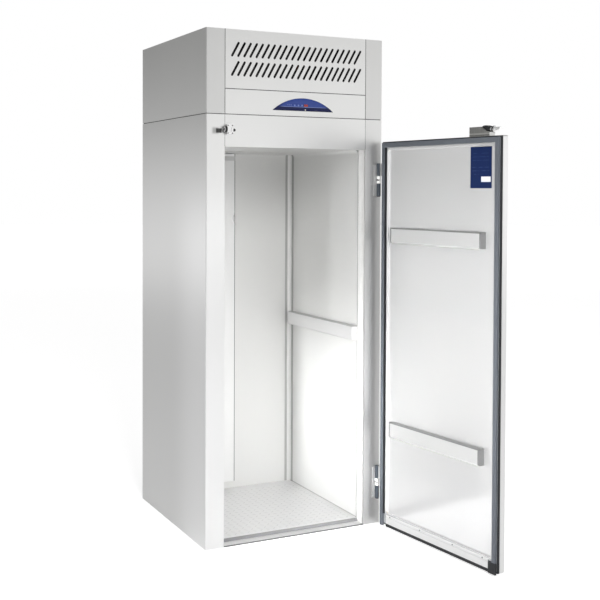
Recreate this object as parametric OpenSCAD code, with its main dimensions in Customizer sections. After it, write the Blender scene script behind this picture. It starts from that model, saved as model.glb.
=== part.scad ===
// Roll-in refrigerator: an insulated cabinet for a wheeled rack, with its unit on top.
// The origin is the centre of the base on the ground, -Y is the front and +Z is up.

/* [Cabinet] */
// Width over the side panels
body_w = 856; // [800:1:920]
// Depth from the front stiles to the back panel
body_d = 832; // [780:1:900]
// Height of the insulated body, up to the seam under the canopy
body_h = 1840; // [1700:1:2000]
// Height of the canopy that hides the refrigeration unit
canopy_h = 357; // [345:1:420]
// Shadow gap between the body and the canopy, filled by the seal strips
seam = 3; // [2:0.5:5]
// Width of the front stiles beside the door opening
stile_w = 85; // [80:1:100]
// Height of the header over the door opening
header_h = 136; // [110:1:180]
// Thickness of the insulated back wall
back_wall = 74; // [60:1:90]
// Thickness of the outer sheet metal
skin = 1.5; // [1:0.1:2]
// Thickness of the liner sheet metal
liner_t = 1.2; // [0.8:0.1:1.5]
// Bend radius of the outer sheets
bend_r = 4; // [3:0.5:6]
// Cove radius of the liner's rear corners
cove_r = 26; // [15:1:35]
// Depth of the pale strip that breaks the cold path round the opening
jamb_d = 50; // [40:1:60]
// Thickness of that strip
jamb_t = 6; // [4:0.5:8]
// Depth of the folded edges behind the front sheets
fold_d = 12; // [9:1:15]
// Gap between neighbouring front sheets of the body
sheet_gap = 1; // [0.8:0.1:2]
// Height of the base rails under the wall foam
base_rail_h = 12; // [8:1:20]

/* [Floor] */
// Height of the tread plate's top above the ground
floor_h = 16; // [12:0.5:20]
// Thickness of the tread plate
tread_t = 2.5; // [2:0.1:4]
// Distance between the lozenges of the tread pattern
tread_pitch = 62; // [50:1:80]
// Height of the sill plate at the door
sill_h = 4; // [3:0.5:6]

/* [Inside fittings] */
// Height of a bumper rail's face
bumper_h = 66; // [50:1:80]
// Distance that a bumper rail stands off its wall
bumper_d = 29; // [20:1:35]
// Sheet thickness of a bumper rail
bumper_t = 1.5; // [1:0.1:2]
// Height of the middle of the wall rails
wall_rail_z = 867; // [700:1:1000]
// Gap left before the front end of the wall rails
wall_rail_gap = 4; // [2:1:20]
// Right edge of the rear air duct panel, from the middle
duct_right = 20; // [0:1:60]
// Depth of the rear air duct
duct_d = 28; // [24:1:40]
// Height of the duct panel's open foot above the ground
duct_foot_z = 58; // [40:1:90]
// Distance between the rows of air slots in the duct panel
duct_slot_row = 120; // [90:1:160]

/* [Door] */
// Angle at which the door stands open
open_angle = 96; // [30:1:150]
// Distance that the shut door laps over the stile on each side
side_lap = 38; // [33:1:40]
// Distance that the shut door laps over the header
top_lap = 31; // [28:1:36]
// Height of the door's bottom edge when it is shut
door_bottom = 6; // [4:0.5:10]
// Thickness of the door without its gasket
door_t = 36; // [34:1:44]
// Depth of the outer pan's edge
pan_edge = 27; // [25:1:30]
// Width of the dark thermal break, inwards from the pan's edge
break_w = 19; // [16:1:22]
// Height of the foot of the liner's flange above the door's bottom edge
flange_set = 8; // [6:1:12]
// Distance from the door's edge to the dish in its liner
dish_margin = 38; // [34:1:46]
// Depth of the dish in the liner
dish_d = 12; // [8:1:14]
// Corner radius of the dish
dish_r = 12; // [8:1:16]
// Height of the middle of the door's lower bumper when it is shut
low_bumper_z = 448; // [300:1:600]
// Distance of the upper bumper's middle below the door's top edge
high_bumper_drop = 418; // [300:1:600]
// Gap between the door's bumpers and the dish's side at the hinge
bumper_hinge_gap = 42; // [20:1:90]
// Gap between the door's bumpers and the dish's free side
bumper_free_gap = 58; // [20:1:90]
// Width of the blank card inside the door
card_w = 124; // [90:1:140]
// Height of that card
card_h = 167; // [120:1:200]

/* [Gasket and sweep] */
// Width of the magnetic gasket
gasket_w = 25; // [22:1:28]
// Thickness of the gasket when the door is shut
gasket_t = 10; // [8:0.5:12]
// Clearance between the gasket and the stiles when the door is shut
seal_gap = 0.5; // [0.3:0.1:1]
// Distance from the door's edge to the gasket
gasket_set = 6; // [4:0.5:8]
// Height of the sweep's metal retainer
retainer_h = 39; // [34:1:44]
// Height of the retainer's lower edge above the ground when the door is shut
retainer_z = 15; // [12:1:18]
// Clearance of the rubber sweep above the ground when the door is shut
sweep_gap = 1.5; // [1:0.1:3]

/* [Hinges] */
// Height of the middle of the lower hinge
low_hinge_z = 190; // [150:1:300]
// Distance of the upper hinge's middle below the door's top edge
high_hinge_drop = 168; // [120:1:300]
// Distance of the hinge axis from the door's edge
hinge_reach = 27; // [26:0.5:30]
// Distance of the hinge axis in front of the stiles
hinge_stand = 10; // [9.5:0.1:12]
// Height of one hinge
hinge_h = 142; // [120:1:170]
// Outer radius of the hinge knuckles
knuckle_r = 9; // [8:0.1:9.2]
// Radius of the hinge pins
pin_r = 4; // [3:0.1:5]
// Running clearance of the pins in their knuckles
pin_gap = 0.05; // [0.03:0.01:0.1]
// Thickness of the hinge leaves
leaf_t = 3; // [2.5:0.5:4]
// Slope of the nylon cams, as rise over run
cam_slope = 0.35; // [0.2:0.05:0.45]
// Height of one nylon cam at its middle
cam_h = 14; // [9:0.5:18]
// Clearance between the two cams of a hinge when the door is shut
cam_gap = 0.3; // [0.2:0.05:0.6]

/* [Latch and strike] */
// Length of the latch body along the door's top edge
latch_l = 118; // [100:1:130]
// Height of the latch body
latch_h = 38; // [36:1:42]
// Distance of the latch body's outer end from the door's free edge
latch_set = 72; // [71:1:76]
// Depth of the latch body
latch_d = 30; // [28:1:31]
// Angle by which the lever hangs below its hooked position
lever_drop = 14; // [12:0.5:15]
// Height of the middle of the roller above the door's top edge
roller_up = 41; // [41:0.5:44]
// Width of the strike block
strike_w = 28; // [20:1:30]
// Height of the strike block
strike_h = 42; // [36:1:44]
// Distance that the strike block stands off the stile
strike_d = 19; // [17:0.5:20]
// Radius of the strike's roller
roller_r = 13.5; // [12:0.5:14]
// Width of the strike's roller
roller_w = 9; // [8:0.5:9.5]

/* [Canopy front] */
// Height of the control panel above the seam
control_h = 106; // [95:1:120]
// Gap round the canopy's front panels
panel_gap = 3; // [2:0.5:4]
// Number of slots in a row of the louvre panel
slot_count = 22; // [16:1:22]
// Distance from the panel's ends to the first and last slot
slot_edge = 21.8; // [16:0.1:40]
// Width of a slot
slot_w = 10; // [6:0.5:12]
// Height of a slanted slot
slot_h = 64; // [50:1:66]
// Sideways lean of a slot from foot to top
slot_lean = 35; // [20:1:40]
// Distance between the two rows of slots
slot_row = 81; // [76:1:84]
// Middle of the controller, from the middle of the cabinet
controller_x = 27; // [0:1:40]
// Width of the controller's lens
lens_w = 295; // [270:1:300]
// Height of the controller's lens
lens_h = 56; // [52:1:60]
// Distance that the lens stands off its panel
lens_d = 6; // [4:0.5:9]
// Height of the lens's foot above the seam
lens_z = 23; // [18:1:28]
// Radius of the controller's keys
key_r = 3.6; // [3:0.1:4]
// Travel of the controller's keys
key_travel = 0.6; // [0.4:0.1:1]

/* [Refrigeration unit] */
// Gap between the unit and the folds of the canopy's front
unit_gap = 34; // [28:1:40]
// Gap between the unit's parts and the lines of the door opening
unit_side = 15; // [12:1:25]
// Width of the condenser coil
coil_w = 330; // [280:1:340]
// Height of the condenser coil
coil_h = 280; // [250:1:290]
// Depth of the condenser coil
coil_d = 60; // [44:1:66]
// Number of fins on a coil
fin_count = 34; // [20:1:40]
// Radius of the condenser fan
fan_r = 98; // [85:1:102]
// Number of blades on a fan
blade_count = 5; // [4:1:6]
// Depth of a fan's hub
fan_depth = 26; // [20:1:28]
// Depth of the shroud behind the condenser coil
shroud_d = 18; // [14:1:24]
// Radius of the condenser fan's motor
motor_r = 36; // [30:1:40]
// Length of that motor
motor_l = 50; // [40:1:56]
// Radius of the receiver tank
tank_r = 34; // [28:1:38]
// Length of the receiver tank
tank_l = 260; // [200:1:280]
// Radius of the compressor's shell
comp_r = 88; // [75:1:92]
// Height of the compressor's shell
comp_h = 190; // [160:1:210]
// Height of the evaporator housing
evap_h = 280; // [260:1:300]
// Wall thickness of the evaporator housing
evap_wall = 22; // [15:1:25]
// Depth of the evaporator coil
evap_coil_d = 50; // [40:1:54]
// Radius of the evaporator fan
evap_fan_r = 85; // [70:1:95]
// Radius of the refrigerant pipes
pipe_r = 5; // [4:0.5:6]

/* [Hidden] */
$fn = 48;

// Places on the cabinet
half_w = body_w / 2;
front = -body_d / 2;
back = body_d / 2;
half_open = half_w - stile_w;
opening_h = body_h - header_h;
liner_front = front + fold_d + jamb_d;
liner_back = back - back_wall;
inside_d = liner_back - front;
roof_under = body_h - skin;
canopy_z = body_h + seam;
total_h = canopy_z + canopy_h;
rear_fold = 24;
seal_set = 4;
seal_w = 8;
face_gap = 0.3;
split_gap = 0.2;
eps = 0.01;

// Places on the door, as it stands when shut
flange_y = front - seal_gap - gasket_t;
outer_y = flange_y - door_t;
dish_y = flange_y - dish_d;
half_door = half_open + side_lap;
door_top = opening_h + top_lap;
axis_x = half_door + hinge_reach;
axis_y = front - hinge_stand;
hinge_zs = [low_hinge_z, door_top - high_hinge_drop];
gasket_x = half_door - gasket_set;
gasket_top = door_top - gasket_set;
retainer_top = retainer_z + retainer_h;
dish_x = half_door - dish_margin;
dish_foot = retainer_top + 6;
dish_top = door_top - dish_margin;
rim_x = half_door - skin;
rim_z = [door_bottom + skin, door_top - skin];
core_x = rim_x - break_w;
core_z = [rim_z[0] + break_w, rim_z[1] - break_w];
flange_foot = door_bottom + flange_set;
cam_r = knuckle_r - 0.2;
open_rise = cam_slope * knuckle_r * PI / 180 * open_angle;

// A box between two corners given per axis
module block(x, y, z) {
    translate([x[0], y[0], z[0]])
        cube([x[1] - x[0], y[1] - y[0], z[1] - z[0]]);
}

module rounded(size, r) {
    for (x = [r, size[0] - r], y = [r, size[1] - r])
        translate([x, y])
            circle(r);
    translate([r, 0])
        square([size[0] - 2 * r, size[1]]);
    translate([0, r])
        square([size[0], size[1] - 2 * r]);
}

// A round-ended slot along X about the origin
module capsule(length, width) {
    for (side = [-1, 1])
        translate([side * (length - width) / 2, 0])
            circle(width / 2);
    square([length - width, width], center = true);
}

// A flat shape in X and Z, carried along Y from y0 to y1
module along_y(y0, y1) {
    translate([0, y1, 0])
        rotate([90, 0, 0])
            linear_extrude(y1 - y0)
                children();
}

// A flat shape in Y and Z, carried along X from x0 to x1
module along_x(x0, x1) {
    translate([x0, 0, 0])
        rotate([90, 0, 90])
            linear_extrude(x1 - x0)
                children();
}

module rod_x(x0, x1, y, z, r) {
    translate([x0, y, z])
        rotate([0, 90, 0])
            cylinder(h = x1 - x0, r = r);
}

module rod_y(y0, y1, x, z, r) {
    translate([x, y1, z])
        rotate([90, 0, 0])
            cylinder(h = y1 - y0, r = r);
}

module both_sides() {
    children();
    mirror([1, 0, 0])
        children();
}

// Pan-head screw with a cross recess, standing on the plane y and facing -Y
module screw(x, y, z, r) {
    translate([x, y, z])
        rotate([90, 0, 0])
            difference() {
                cylinder(h = 0.6 * r, r1 = r, r2 = 0.75 * r);
                for (a = [0, 90])
                    translate([0, 0, 0.6 * r])
                        rotate([0, 0, a])
                            cube([1.2 * r, 0.25 * r, 0.5 * r], center = true);
            }
}

// Places the door and all that it carries as they stand when open
module at_door() {
    translate([axis_x, axis_y, open_rise])
        rotate([0, 0, open_angle])
            translate([-axis_x, -axis_y, 0])
                children();
}

// Plan of the left side sheet: side, bend, front stile and its inner fold
module side_plan() {
    translate([-half_w, front + bend_r])
        square([skin, body_d - bend_r]);
    translate([-half_w + bend_r, front])
        square([stile_w - bend_r, skin]);
    translate([-half_open - skin, front])
        square([skin, fold_d]);
    translate([-half_w + bend_r, front + bend_r])
        intersection() {
            difference() {
                circle(bend_r);
                circle(bend_r - skin);
            }
            translate([-bend_r, -bend_r])
                square(bend_r);
        }
}

module left_side_panel() {
    color("lightgray") {
        linear_extrude(body_h)
            side_plan();
        block([-half_w, -half_w + rear_fold], [back - skin, back], [0, body_h]);
    }
}

module right_side_panel() {
    mirror([1, 0, 0])
        left_side_panel();
}

module back_panel() {
    edge = half_w - rear_fold - sheet_gap;
    color("silver")
        block([-edge, edge], [back - skin, back], [0, body_h]);
}

// Front sheet folded back along all four of its edges
module folded_sheet(half_width, z0, z1) {
    difference() {
        block([-half_width, half_width], [front, front + fold_d], [z0, z1]);
        block([-half_width + skin, half_width - skin], [front + skin, front + fold_d + 1],
              [z0 + skin, z1 - skin]);
    }
}

module header_panel() {
    color("gainsboro")
        folded_sheet(half_open - sheet_gap, opening_h, body_h);
}

// Air openings in the roof: two for return air, one for supply air over the rear duct
duct_left = -half_open + cove_r + 1;
duct_middle = (duct_left + duct_right) / 2;
return_y = [liner_back - 0.33 * inside_d, liner_back - 0.21 * inside_d];
return_x = [0.06 * half_open, 0.63 * half_open];
supply_half = 0.29 * half_open;
supply_y = [liner_back - duct_d + 3, liner_back - 2];

module roof_openings(z0, z1) {
    both_sides()
        block(return_x, return_y, [z0, z1]);
    block([duct_middle - supply_half, duct_middle + supply_half], supply_y, [z0, z1]);
}

module roof_skin() {
    edge = half_w - skin;
    color("silver")
        difference() {
            block([-edge, edge], [front + fold_d, back - skin], [roof_under, body_h]);
            roof_openings(roof_under - 1, body_h + 1);
        }
}

// Foam of the side walls, set back behind the jamb strips, and of the back wall
module cabinet_foam() {
    edge = half_open + liner_t;
    color("khaki") {
        both_sides()
            translate([0, 0, base_rail_h])
                linear_extrude(roof_under - base_rail_h)
                    polygon([
                        [edge, liner_front], [half_open + jamb_t, liner_front],
                        [half_open + jamb_t, front + bend_r], [half_w - skin, front + bend_r],
                        [half_w - skin, back - skin], [edge, back - skin]
                    ]);
        block([-edge + split_gap, edge - split_gap], [liner_back + liner_t, back - skin],
              [base_rail_h, roof_under]);
    }
}

module roof_foam() {
    edge = half_open + liner_t - split_gap;
    jamb_edge = half_open + jamb_t - split_gap;
    color("khaki")
        difference() {
            union() {
                block([-edge, edge], [liner_front, liner_back + liner_t],
                      [opening_h + liner_t, roof_under]);
                block([-jamb_edge, jamb_edge], [front + fold_d, liner_front],
                      [opening_h + jamb_t, roof_under]);
            }
            roof_openings(opening_h, body_h);
        }
}

// Channels that carry the walls on the ground
module base_rails() {
    edge = half_open + jamb_t;
    color("dimgray") {
        both_sides()
            block([edge, half_w - skin], [front + bend_r, back - skin], [0, base_rail_h]);
        block([-half_open, half_open], [liner_back + liner_t, back - skin], [0, base_rail_h]);
    }
}

// U-shaped plan of the liner walls, coved at the two rear corners
module liner_plan(grow) {
    half = half_open + grow;
    r = cove_r + grow;
    rear = liner_back + grow;
    translate([-half, liner_front])
        square([2 * half, rear - liner_front - r]);
    translate([-half + r, rear - r - 1])
        square([2 * half - 2 * r, r + 1]);
    for (side = [-1, 1])
        translate([side * (half - r), rear - r])
            circle(r);
}

module inner_liner() {
    color("whitesmoke")
        translate([0, 0, floor_h])
            linear_extrude(opening_h - floor_h)
                difference() {
                    liner_plan(liner_t);
                    liner_plan(0);
                }
}

// Ceiling of the inside, with its return air grilles and its supply opening
module ceiling_liner() {
    slots = 11;
    pitch = (return_x[1] - return_x[0]) / slots;
    length = return_y[1] - return_y[0] - 12;
    color("whitesmoke")
        difference() {
            block([-half_open, half_open], [liner_front, liner_back],
                  [opening_h, opening_h + liner_t]);
            block([duct_middle - supply_half, duct_middle + supply_half], supply_y,
                  [opening_h - 1, opening_h + liner_t + 1]);
            both_sides()
                for (i = [0 : slots - 1])
                    translate([return_x[0] + (i + 0.5) * pitch,
                               (return_y[0] + return_y[1]) / 2, opening_h - 1])
                        rotate([0, 0, 90])
                            linear_extrude(liner_t + 2)
                                capsule(length, 0.5 * pitch);
        }
}

// Pale strips between the outer sheets and the liner
module jamb_strips() {
    foot = front + fold_d;
    color("white") {
        both_sides()
            block([half_open, half_open + jamb_t], [foot, liner_front], [0, opening_h]);
        block([-half_open - jamb_t, half_open + jamb_t], [foot, liner_front],
              [opening_h + face_gap, opening_h + jamb_t]);
    }
}

floor_under = floor_h - tread_t;
nose_d = floor_h - sill_h;

module floor_base() {
    color("dimgray")
        block([-half_open, half_open], [liner_front, liner_back], [0, floor_under]);
}

// Tread plate with its bevelled nose at the door and rows of raised lozenges
module tread_plate() {
    rows = floor((liner_back - duct_d - liner_front - 30) / tread_pitch);
    columns = floor((2 * half_open - 30) / tread_pitch);
    length = 24;
    color("lightgray") {
        along_x(-half_open, half_open)
            polygon([
                [liner_front - nose_d, 0], [liner_front - nose_d, sill_h],
                [liner_front, floor_h], [liner_back, floor_h], [liner_back, floor_under],
                [liner_front, floor_under], [liner_front, 0]
            ]);
        for (i = [0 : columns - 1], j = [0 : rows - 1])
            translate([(i - (columns - 1) / 2) * tread_pitch,
                       liner_front + 15 + (j + 0.5) * tread_pitch, floor_h])
                rotate([0, 0, (i + j) % 2 == 0 ? 45 : -45])
                    cube([length, length / 4, 1.2], center = true);
    }
}

module sill_plate() {
    color("silver")
        along_x(-half_open, half_open)
            polygon([
                [front, 0], [front, sill_h - 1], [front + 2, sill_h],
                [liner_front - nose_d, sill_h], [liner_front - nose_d, 0]
            ]);
}

// Cover of the rear air duct: folded sheet with rows of supply slots and open ends
module rear_duct_panel() {
    face = liner_back - duct_d;
    top = opening_h - 4;
    width = duct_right - duct_left;
    slot_l = 0.21 * width;
    color("whitesmoke")
        difference() {
            block([duct_left, duct_right], [face, liner_back], [duct_foot_z, top]);
            block([duct_left + liner_t, duct_right - liner_t],
                  [face + liner_t, liner_back + 1], [duct_foot_z - 1, top + 1]);
            along_y(face - 1, face + liner_t + 1)
                for (z = [duct_foot_z + 1.35 * duct_slot_row : duct_slot_row
                          : top - duct_slot_row], k = [0, 1])
                    translate([duct_left + slot_l + k * 1.36 * slot_l, z])
                        capsule(slot_l, 9);
        }
}

// Outline of a bumper rail in depth and height, its rounded face towards -Y
module bumper_outline(inset) {
    r = 5;
    intersection() {
        translate([-bumper_d + inset, -bumper_h / 2 + inset])
            rounded([2 * bumper_d, bumper_h - 2 * inset], r - inset);
        translate([-bumper_d, -bumper_h / 2])
            square([bumper_d, bumper_h]);
    }
}

// Bumper rail from the origin along X: a channel with closed ends and three stand-offs
module bumper(length) {
    along_x(0, length)
        difference() {
            bumper_outline(0);
            bumper_outline(bumper_t);
        }
    for (x = [0, length - bumper_t])
        along_x(x, x + bumper_t)
            bumper_outline(0);
    for (share = [0.15, 0.5, 0.85])
        rod_y(-bumper_d + bumper_t / 2, 0, share * length, 0, 7);
}

module wall_bumper_rails() {
    start = liner_front + wall_rail_gap;
    color("lightgray")
        both_sides()
            translate([-half_open, start, wall_rail_z])
                rotate([0, 0, 90])
                    bumper(liner_back - max(cove_r, duct_d + 2) - start);
}

module door_skin() {
    color("gainsboro")
        at_door()
            difference() {
                block([-half_door, half_door], [outer_y, outer_y + pan_edge],
                      [door_bottom, door_top]);
                block([-half_door + skin, half_door - skin],
                      [outer_y + skin, outer_y + pan_edge + 1],
                      [door_bottom + skin, door_top - skin]);
            }
}

// Outline of the dish in the door's liner, grown outwards by a given amount
module dish_plan(grow) {
    translate([-dish_x - grow, dish_foot - grow])
        rounded([2 * (dish_x + grow), dish_top - dish_foot + 2 * grow], dish_r + grow);
}

module door_foam() {
    color("khaki")
        at_door()
            difference() {
                union() {
                    block([-rim_x, rim_x], [outer_y + skin, outer_y + pan_edge], rim_z);
                    block([-core_x, core_x], [outer_y + pan_edge, flange_y - liner_t],
                          core_z);
                }
                along_y(dish_y - liner_t, flange_y + 1)
                    dish_plan(liner_t);
            }
}

// Dark frame that parts the outer pan from the liner; the liner's flange sits in it
module door_break() {
    color("black")
        at_door()
            difference() {
                block([-rim_x, rim_x], [outer_y + pan_edge, flange_y], rim_z);
                block([-core_x, core_x], [outer_y, flange_y + 1], core_z);
                block([-gasket_x - split_gap, gasket_x + split_gap],
                      [flange_y - liner_t, flange_y + 1],
                      [flange_foot - split_gap, gasket_top + split_gap]);
            }
}

module door_liner() {
    color("whitesmoke")
        at_door()
            difference() {
                union() {
                    block([-gasket_x, gasket_x], [flange_y - liner_t, flange_y],
                          [flange_foot, gasket_top]);
                    along_y(dish_y - liner_t, flange_y)
                        dish_plan(liner_t);
                }
                along_y(dish_y, flange_y + 1)
                    dish_plan(0);
            }
}

// Layers of the gasket over the flange: inset from its outer and inner edge, then height
waist = 0.26 * gasket_t;
gasket_layers = [
    [1, 0, waist], [4, waist, 2 * waist], [0, 2 * waist, gasket_t - 1],
    [1, gasket_t - 1, gasket_t]
];
end_block_top = retainer_top - 6;
hinge_foot_top = retainer_z + 15;

// One layer of the gasket, up the hinge side, across the top and down the free side
module gasket_layer(inset, y) {
    outer = gasket_x - inset;
    inner = gasket_x - gasket_w + inset;
    top = gasket_top - inset;
    under = gasket_top - gasket_w + inset;
    along_y(flange_y + y[0], flange_y + y[1])
        polygon([
            [-outer, end_block_top], [-outer, top], [outer, top], [outer, hinge_foot_top - 1],
            [inner, hinge_foot_top - 1], [inner, under], [-inner, under],
            [-inner, end_block_top]
        ]);
}

// Gasket with its foot, waist and head, and the plain foot of its hinge side
module door_gasket() {
    color("slategray")
        at_door() {
            for (layer = gasket_layers)
                gasket_layer(layer[0], [layer[1], layer[2]]);
            block([gasket_x - gasket_w, gasket_x], [flange_y, flange_y + gasket_t],
                  [sweep_gap, hinge_foot_top]);
        }
}

module door_bumpers() {
    color("lightgray")
        at_door()
            for (z = [low_bumper_z, door_top - high_bumper_drop])
                translate([dish_x - bumper_hinge_gap, dish_y, z])
                    rotate([0, 0, 180])
                        bumper(2 * dish_x - bumper_hinge_gap - bumper_free_gap);
}

// Metal retainer of the sweep: a thick lower bar with a thin flange over it
retainer_x = [-gasket_x + gasket_w + 17, gasket_x - gasket_w - 14];
retainer_t = 4;
bar_top = retainer_top - 12;

module sweep_retainer() {
    color("gainsboro")
        at_door()
            along_x(retainer_x[0], retainer_x[1])
                polygon([
                    [flange_y, retainer_z], [flange_y + retainer_t, retainer_z],
                    [flange_y + retainer_t, bar_top], [flange_y + liner_t, bar_top + 1],
                    [flange_y + liner_t, retainer_top], [flange_y, retainer_top]
                ]);
}

module retainer_screws() {
    span = retainer_x[1] - retainer_x[0];
    color("silver")
        at_door()
            for (share = [0.006, 0.06, 0.33, 0.648, 0.96])
                translate([retainer_x[0] + share * span, flange_y + liner_t, retainer_top - 6])
                    rotate([0, 0, 180])
                        screw(0, 0, 0, 3.2);
}

// Rubber sweep under the retainer, with the black block that ends it at the free side
module door_sweep() {
    color("black")
        at_door() {
            along_x(retainer_x[0] - 1, retainer_x[1])
                polygon([
                    [flange_y, retainer_z], [flange_y + 1, 6], [flange_y + 2, sweep_gap],
                    [flange_y + 4, sweep_gap], [flange_y + 5, 5],
                    [flange_y + retainer_t, retainer_z]
                ]);
            along_y(flange_y, flange_y + gasket_t)
                polygon([
                    [-gasket_x, sweep_gap], [retainer_x[0], sweep_gap],
                    [retainer_x[0], end_block_top - 4], [retainer_x[0] - 5, end_block_top],
                    [-gasket_x, end_block_top]
                ]);
        }
}

// Unprinted plastic card at the top of the dish, near the free side
module blank_card() {
    left = -dish_x + 28;
    color("navy")
        at_door()
            block([left, left + card_w], [dish_y, dish_y + 0.8],
                  [dish_top - 3 - card_h, dish_top - 3]);
}

module at_hinges() {
    for (z = hinge_zs)
        translate([axis_x, axis_y, z])
            children();
}

// Plate on the stile with the lower knuckle; a trough clears the upper knuckle
module hinge_frame_leaves() {
    color("gray")
        at_hinges()
            difference() {
                union() {
                    block([-0.74 * hinge_reach, 0.59 * hinge_reach],
                          [hinge_stand - leaf_t, hinge_stand],
                          [-hinge_h / 2, hinge_h / 2]);
                    translate([0, 0, -hinge_h / 2])
                        cylinder(h = hinge_h / 2 - cam_h, r = knuckle_r);
                }
                translate([0, 0, -hinge_h / 2 - 1])
                    cylinder(h = hinge_h, r = pin_r + pin_gap);
                translate([0, 0, -cam_h])
                    cylinder(h = hinge_h, r = knuckle_r + 0.5);
            }
}

// Nylon cams: two bushes parted by one oblique plane, so that turning lifts the upper one
module cam(upper) {
    run = cam_slope * cam_r + 0.5;
    slab = 60;
    difference() {
        translate([0, 0, upper ? -run : -cam_h])
            cylinder(h = cam_h + run, r = cam_r);
        translate([0, 0, -cam_h - 1])
            cylinder(h = 2 * cam_h + 2, r = pin_r + pin_gap);
        translate([0, 0, (upper ? 1 : -1) * cam_gap / 2])
            rotate([0, -atan(cam_slope), 0])
                translate([-slab / 2, -slab / 2, upper ? -slab : 0])
                    cube(slab);
    }
}

module hinge_frame_cams() {
    color("white")
        at_hinges()
            cam(false);
}

module hinge_door_cams() {
    color("white")
        at_door()
            at_hinges()
                cam(true);
}

module hinge_pins() {
    head = 3;
    color("silver")
        at_hinges() {
            translate([0, 0, -hinge_h / 2 - face_gap])
                cylinder(h = hinge_h + face_gap - 6, r = pin_r);
            translate([0, 0, -hinge_h / 2 - face_gap - head])
                cylinder(h = head, r = knuckle_r - 1.5);
        }
}

// Upper knuckle, its web and the plate screwed to the door's edge
module hinge_door_leaves() {
    color("dimgray")
        at_door()
            at_hinges() {
                difference() {
                    union() {
                        translate([0, 0, cam_h])
                            cylinder(h = hinge_h / 2 - cam_h, r = knuckle_r);
                        block([-hinge_reach, 0], [-leaf_t / 2 - 1, leaf_t / 2 - 1],
                              [cam_h, hinge_h / 2]);
                    }
                    translate([0, 0, cam_h - 1])
                        cylinder(h = hinge_h / 2 - cam_h - 3, r = pin_r + pin_gap);
                }
                block([-hinge_reach, -hinge_reach + leaf_t],
                      [outer_y + 1 - axis_y, leaf_t / 2 - 1], [-hinge_h / 2, hinge_h / 2]);
            }
}

// The latch stands on the door's top edge; its lever turns about an axis along X
latch_out = -half_door + latch_set;
latch_y = [outer_y + 2, outer_y + 2 + latch_d];
lever_y = front - 36;
lever_z = door_top + 27;
lever_r = 8;
cap_x = latch_out + 14;

module lever_bore() {
    rod_x(latch_out - 1, cap_x + 30, lever_y, lever_z, pin_r + pin_gap);
}

module latch_body() {
    color("gray")
        at_door()
            difference() {
                along_y(latch_y[0], latch_y[1])
                    polygon([
                        [latch_out, door_top], [latch_out + latch_l, door_top],
                        [latch_out + latch_l, door_top + latch_h],
                        [cap_x + 37, door_top + latch_h], [cap_x + 19, lever_z + 1],
                        [cap_x + 7, lever_z - 7], [latch_out + 10, lever_z - 9.5],
                        [latch_out, lever_z - 12]
                    ]);
                lever_bore();
            }
}

// Black cap over the latch's shoulder, with the lever's bearing
module latch_cap() {
    color("black")
        at_door()
            difference() {
                along_y(latch_y[0], latch_y[1] - 6)
                    polygon([
                        [cap_x + 37, door_top + latch_h], [cap_x + 27, door_top + latch_h + 4],
                        [cap_x + 16, door_top + latch_h + 5], [cap_x + 3, door_top + latch_h + 2],
                        [cap_x, lever_z + 6], [cap_x, lever_z - 5],
                        [cap_x + 7, lever_z - 7], [cap_x + 19, lever_z + 1]
                    ]);
                lever_bore();
            }
}

// Places of the roller strike on the left stile and the header
roller_x = -half_door + 31;
roller_z = door_top + roller_up;
roller_y = front - 15;
strike_x = roller_x + roller_w + 1.5;

module latch_lever() {
    tip = 36 - 1;
    color("silver")
        at_door()
            translate([0, lever_y, lever_z])
                rotate([-lever_drop, 0, 0]) {
                    rod_x(roller_x, cap_x - 1, 0, 0, lever_r);
                    rod_x(cap_x - 1.5, cap_x + 24, 0, 0, pin_r);
                    along_x(roller_x, roller_x + roller_w)
                        polygon([
                            [0, -7], [tip, -7], [tip, 5], [tip - 3, 5], [tip - 4.5, -1],
                            [0, -1]
                        ]);
                    along_x(roller_x, roller_x + 32)
                        polygon([
                            [0, 7], [-12, 4], [-18, -1], [-18, -5], [-10, -4], [0, -7]
                        ]);
                }
}

module strike_block() {
    z = [roller_z - strike_h / 2, roller_z + strike_h / 2];
    color("silver") {
        difference() {
            block([strike_x, strike_x + strike_w], [front - strike_d, front], z);
            block([strike_x + 8, strike_x + strike_w - 8],
                  [front - strike_d - 1, front - strike_d + 2], [z[0] + 12, z[1] - 12]);
        }
        for (x = [4, strike_w - 4], up = [5, strike_h - 5])
            screw(strike_x + x, front - strike_d, z[0] + up, 2.6);
        rod_x(roller_x - 0.5, strike_x + 1, roller_y, roller_z, 3);
        rod_x(roller_x - 2.5, roller_x - 0.4, roller_y, roller_z, 5);
    }
}

module strike_roller() {
    color("black")
        difference() {
            rod_x(roller_x, roller_x + roller_w, roller_y, roller_z, roller_r);
            rod_x(roller_x - 1, roller_x + roller_w + 1, roller_y, roller_z, 3.05);
        }
}

// Rubber buffer beside the strike
module strike_stop() {
    color("black")
        rod_y(front - 8, front, strike_x + strike_w + 9, roller_z - 2, 6);
}

// Seal strips between the body and the canopy
module canopy_seal() {
    x = half_w - seal_set;
    y = [front + seal_set, back - seal_set];
    color("dimgray") {
        for (y0 = [y[0], y[1] - seal_w])
            block([-x, x], [y0, y0 + seal_w], [body_h, canopy_z]);
        both_sides()
            block([x - seal_w, x], [y[0] + seal_w + 1, y[1] - seal_w - 1],
                  [body_h, canopy_z]);
    }
}

module canopy_side_panels() {
    color("lightgray")
        both_sides()
            difference() {
                translate([0, 0, canopy_z])
                    linear_extrude(canopy_h)
                        side_plan();
                block([-half_w + skin, 0], [front + skin, back + 1],
                      [total_h - skin, total_h + 1]);
            }
}

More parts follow.
